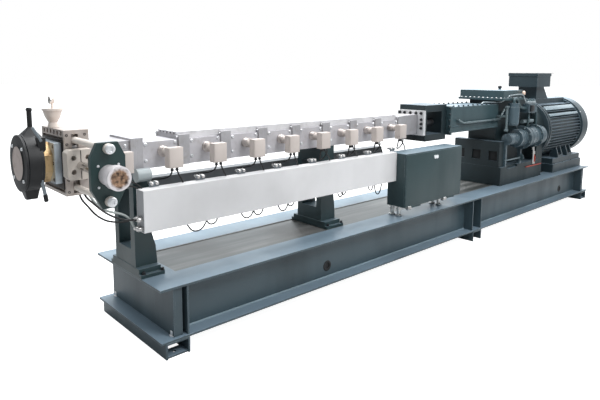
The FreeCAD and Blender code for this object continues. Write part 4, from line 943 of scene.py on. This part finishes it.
# Black plates just in front of each recess floor, painted as the shade in the recesses.
rib_set("gearbox_recess_shade_plates", [(wall_x + 0.0105, y, 0.6835) for y in (-0.180, 0.0, 0.180)],
        (0.003, 0.0948, 0.0968), recess_painted_shade)
cover_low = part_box("gearbox_cover")[0]
lip_z = cover_low.z + 0.022
cover_bolts = both_sides([cover_low.x + 0.030 + 0.066 * n for n in range(6)], 0.234, (lip_z,))
cover_bolts += [(cover_low.x + 0.006, -0.216 + 0.048 * n, lip_z) for n in range(10)]
set_out("cover_bolts", round_screw("cover_bolt", 9, up), cover_bolts, bolt_zinc)
breather = turned_piece("breather_cap", ((0, 0), (0, 18), (6, 20), (20, 20), (26, 12), (28, 0)), up, 20)
dress(shift_mesh(breather, (1.334, 0.0, 1.346)), bolt_black)
deselect()
bpy.ops.mesh.primitive_torus_add(major_radius=0.020, minor_radius=0.005, major_segments=24,
                                 minor_segments=10, rotation=towards_near, location=(0.0, 0.0, 0.027))
eye_ring = take("lifting_eye_ring")
eye_base = turned_piece("lifting_eye_base", ((0, 0), (0, 13), (5, 13), (8, 7), (12, 6), (12, 0)), up, 16)
set_out("lifting_eyes", join_as("lifting_eye", [eye_ring, eye_base]),
        [(1.42, 0.0, 1.236), (1.60, 0.0, 1.236), (2.330, 0.0, 1.218), (2.640, 0.085, 1.202)],
        drive_paint_shaded)
casing_x = 1.690
casing_bolt_row = 0.252
set_out("casing_bolts", hex_bolt("casing_bolt", 8.5, towards_die),
        ring_places(casing_x, 0.0, 0.924, casing_bolt_row, (0, 18, 36, 144, 162, 180))
        + both_sides((casing_x,), casing_bolt_row, (0.64, 0.72, 0.80, 0.87)), drive_paint_shaded)

# Oil pump set: a small motor, bell housing and pump in line, cast and painted, bolted at
# their flanges and ribbed round.
pump_paint = painted("pump_paint", (70, 86, 94), (170, 184, 192), 0.7, (34, 40, 42), 0.35, 0.24)
pipe_steel = metal("pipe_steel", (112, 126, 130), (60, 66, 66), 0.4, 0.28, 0.55)
finish(pump_paint, "oil_pump", "oil_filter", "oil_valve_block")
finish(pipe_steel, "oil_pipes")
pump_y = -0.275
pump_z = 0.850
eighths = [22.5 + 45.0 * step for step in range(8)]
set_out("pump_flange_bolts", hex_bolt("pump_bolt", 7.5, towards_die),
        ring_places(1.290, pump_y, pump_z, 0.108, eighths)
        + ring_places(1.560, pump_y, pump_z, 0.112, eighths), pipe_steel)
fan_profile = ((-4, 0), (-4, 20), (6, 40), (6, 56.5), (24, 58), (26, 56.5), (40, 56.5), (42, 58.5),
               (50, 58.5), (52, 56.5))
fan_cap = turned_piece("pump_fan_cap", fan_profile, towards_drive, 28)
dress(shift_mesh(fan_cap, (1.0005, pump_y, pump_z)), pump_paint)
pump_ribs = []
for rib_x, radius in ((1.080, 57.5), (1.105, 57.5), (1.130, 57.5), (1.200, 89.5), (1.245, 89.5),
                      (1.400, 101.5), (1.470, 101.5), (1.640, 106.5)):
    rib = turned_piece("pump_hoop", ((-4, radius - 4), (-4, radius), (-2, radius + 2), (2, radius + 2),
                                     (4, radius), (4, radius - 4)), towards_drive, 36)
    pump_ribs.append(shift_mesh(rib, (rib_x, pump_y, pump_z)))
dress(join_as("pump_casting_ribs", pump_ribs), pump_paint)

# Oil pipes: bent steel tube over the housing, the filter head's elbow, and the small
# lines and red hoses that join the pump, the valve block and the base.
pipe_bright = metal("pipe_bright", (168, 178, 182), (80, 84, 84), 0.4, 0.28, 0.7)
hose_red = painted("hose_red", (168, 64, 48), (190, 110, 90), 0.2, (80, 40, 34), 0.4, 0.45)


def pipe_run(name, thickness, material, route):
    """A bent pipe or a short hose along its route, made a mesh."""
    deselect()
    pipe = round_line(name, route, thickness, 6)
    pipe.select_set(True)
    bpy.context.view_layer.objects.active = pipe
    bpy.ops.object.convert(target="MESH")
    dress(bpy.context.object, material)


pipe_run("oil_pipe_top", 0.013, pipe_bright, [
    (0.700, -0.150, 1.205), (0.720, -0.150, 1.222), (0.760, -0.152, 1.224), (0.950, -0.158, 1.216),
    (1.010, -0.165, 1.214), (1.040, -0.190, 1.222), (1.055, -0.235, 1.268), (1.075, -0.250, 1.284),
    (1.200, -0.252, 1.290), (1.290, -0.256, 1.292), (1.330, -0.262, 1.285), (1.345, -0.270, 1.240),
    (1.380, -0.275, 1.205), (1.400, -0.275, 1.186)])
pipe_run("oil_filter_elbow", 0.030, drive_paint, [
    (1.107, -0.275, 1.200), (1.107, -0.275, 1.228), (1.120, -0.275, 1.246), (1.150, -0.275, 1.250),
    (1.180, -0.275, 1.240), (1.200, -0.275, 1.210), (1.230, -0.275, 1.170), (1.300, -0.275, 1.150),
    (1.372, -0.275, 1.146)])
pipe_run("oil_line_low", 0.024, drive_paint, [
    (1.440, -0.275, 1.102), (1.440, -0.275, 1.070), (1.430, -0.285, 1.045), (1.400, -0.300, 1.030),
    (1.390, -0.300, 1.000), (1.395, -0.285, 0.965), (1.400, -0.275, 0.948)])
pipe_run("oil_line_side", 0.026, drive_paint, [
    (1.558, -0.275, 1.140), (1.585, -0.275, 1.140), (1.612, -0.275, 1.120), (1.625, -0.275, 1.060),
    (1.630, -0.275, 0.990), (1.630, -0.275, 0.950)])
pipe_run("drain_pipe", 0.018, pipe_steel, [
    (1.000, -0.262, 0.640), (1.030, -0.275, 0.640), (1.100, -0.276, 0.640), (1.230, -0.276, 0.640),
    (1.300, -0.276, 0.640), (1.335, -0.262, 0.640)])
drain_flange = turned_piece("drain_flange", ((-6, 0), (-6, 36), (-4, 38), (4, 38), (6, 36), (6, 0)),
                            towards_drive, 24)
dress(shift_mesh(drain_flange, (1.332, -0.266, 0.640)), drive_paint)
pipe_run("return_line_red", 0.012, hose_red, [
    (1.445, -0.280, 0.524), (1.500, -0.281, 0.524), (1.620, -0.281, 0.524), (1.740, -0.281, 0.524),
    (1.800, -0.280, 0.524)])
pipe_run("drain_hose_red", 0.016, hose_red, [
    (1.622, -0.276, 0.640), (1.641, -0.280, 0.618), (1.641, -0.280, 0.590), (1.634, -0.280, 0.570),
    (1.630, -0.276, 0.552)])

# Drain fittings: nickelled nuts on a steel pillar beside the pump, where the red hoses
# are screwed on.
fittings = []
for x, z, radius, length in ((1.608, 0.737, 17, 30), (1.599, 0.695, 15, 26),
                             (1.622, 0.650, 18, 26), (1.630, 0.540, 14, 20)):
    nut = turned_piece("drain_nut", ((0, 0), (0, radius), (length * 0.3, radius),
                                     (length * 0.35, radius * 0.8), (length * 0.6, radius * 0.8),
                                     (length * 0.65, radius), (length, radius), (length, 0)), up, 8)
    fittings.append(shift_mesh(nut, (x, pump_y, z)))
pillar = turned_piece("drain_pillar", ((540, 0), (540, 9), (640, 9), (642, 11), (700, 11), (702, 9),
                                       (750, 9), (750, 0)), up, 16)
fittings.append(shift_mesh(pillar, (1.612, pump_y, 0.0)))
dress(join_as("drain_fittings", fittings), gland_nickel)

# Sight box and valve: a small framed oil sight, a cream hand knob on its stem, and a
# plated block that carries four valve caps.
sight_box = block("sight_box", (0.076, 0.014, 0.062), (1.433, -0.316, 1.145))
step_face(sight_box, (0, -1, 0), 0.009, (0.0, 0.006, 0.0))
dress(ease(sight_box, 0.002), bolt_black)
handle_cream = painted("handle_cream", (222, 196, 178), (240, 226, 214), 0.4, (150, 110, 90), 0.4, 0.4)
handle = turned_piece("valve_handle", ((0, 0), (0, 12), (6, 16), (20, 17), (32, 14), (38, 7), (40, 0)),
                      up, 20)
dress(shift_mesh(handle, (1.338, -0.262, 1.286)), handle_cream)
dress(ease(block("valve_cap_block", (0.170, 0.040, 0.030), (1.470, -0.275, 1.204)), 0.005, 3),
      pipe_bright)
valve_cap = turned_piece("valve_cap", ((0, 0), (0, 14), (12, 14), (14, 10), (22, 10), (24, 0)), up, 12)
set_out("valve_caps", valve_cap, [(x, -0.275, 1.217) for x in (1.395, 1.440, 1.500, 1.545)],
        drive_paint)

# Coupling bell and main motor: a finned cast-iron body with end shields, a sheet cowl
# with its air grille, and bolts where each piece meets the next.
motor_paint = painted("motor_paint", (42, 55, 61), (146, 168, 182), 0.7, (26, 34, 38), 0.35, 0.34, 0.58)
finish(motor_paint, "motor_body", "coupling_bell", "motor_cowl", "motor_pedestal", "motor_feet",
       "motor_terminal_box")
motor_z = 0.876
set_out("bell_bolts", hex_bolt("bell_bolt", 6.5, towards_drive, False),
        ring_places(1.849, 0.0, motor_z, 0.3255, [11.25 + 22.5 * step for step in range(16)]),
        drive_paint_shaded)
# The side pads take a paler paint, painted as the highlight along the motor's upper flanks.
motor_pad_highlight = painted("motor_pad_highlight", (120, 136, 144), (196, 208, 214), 0.6, (60, 70, 74), 0.25, 0.22)
pad_radius = 0.334
pad_chamfer = 0.010
pads = []
for pad_z, pad_width in ((1.118, 0.056), (1.046, 0.030)):
    lean = math.asin((pad_z - motor_z) / pad_radius)
    pad = block("motor_pad", (0.770, 0.010, pad_width))
    for vertex in pad.data.vertices:
        if vertex.co.y < 0:
            vertex.co.x -= math.copysign(pad_chamfer, vertex.co.x)
    ease(pad, 0.002)
    pad.data.transform(mathutils.Matrix.Translation((2.318, -pad_radius * math.cos(lean), pad_z))
                       @ mathutils.Matrix.Rotation(-lean, 4, "X"))
    pads.append(pad)
dress(join_as("motor_side_pads", pads), motor_pad_highlight)

# Fan grille: wire hoops on eight spokes over the cowl's end, with a pressed hub in the
# middle and screws round the cowl.
cowl_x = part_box("motor_cowl")[1].x
grille = []
for radius in range(55, 296, 40):
    hoop = turned_piece("grille_hoop", ((-1, radius - 6), (4, radius - 5), (5, radius - 2), (5, radius + 2),
                                        (4, radius + 5), (-1, radius + 6)), towards_drive, 56)
    grille.append(shift_mesh(hoop, (cowl_x, 0.0, motor_z)))
for step in range(8):
    spoke = ease(block("grille_spoke", (0.006, 0.010, 0.255), (0.0, 0.0, 0.1725)), 0.0015)
    spoke.data.transform(mathutils.Matrix.Rotation(math.radians(45.0 * step), 4, "X"))
    grille.append(shift_mesh(spoke, (cowl_x + 0.002, 0.0, motor_z)))
dress(join_as("cowl_grille", grille), motor_paint)
hub = turned_piece("cowl_hub", ((-1, 0), (-1, 50), (3, 49), (6, 30), (7, 0)), towards_drive, 32)
dress(shift_mesh(hub, (cowl_x, 0.0, motor_z)), motor_paint)
cowl_screws = []
for angle in range(30, 390, 60):
    screw = round_screw("cowl_screw", 7, up)
    screw.data.transform(mathutils.Matrix.Rotation(math.radians(angle - 90), 4, "X"))
    cowl_screws.append(shift_mesh(screw, ring_places(2.762, 0.0, motor_z, 0.3445, (angle,))[0]))
dress(join_as("cowl_screws", cowl_screws), bolt_zinc)

# Motor fixings: black bolts through the feet, down the pedestal's flange and in the lid
# of the terminal box.
set_out("motor_feet_bolts", hex_bolt("motor_foot_bolt", 14, up),
        both_sides((2.287, 2.543), 0.272, (0.5715,)), bolt_black)
lid_low, lid_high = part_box("motor_terminal_box")
set_out("terminal_box_bolts", sunk_screw("terminal_box_bolt", 8.5, up),
        both_sides((lid_low.x + 0.016, 2.018, lid_high.x - 0.016), 0.153, (lid_high.z,)),
        bolt_black)
set_out("pedestal_bolts", hex_bolt("pedestal_bolt", 5, up, False),
        both_sides((2.120, 2.340, 2.580, 2.810), 0.297, (0.484,)), bolt_black)
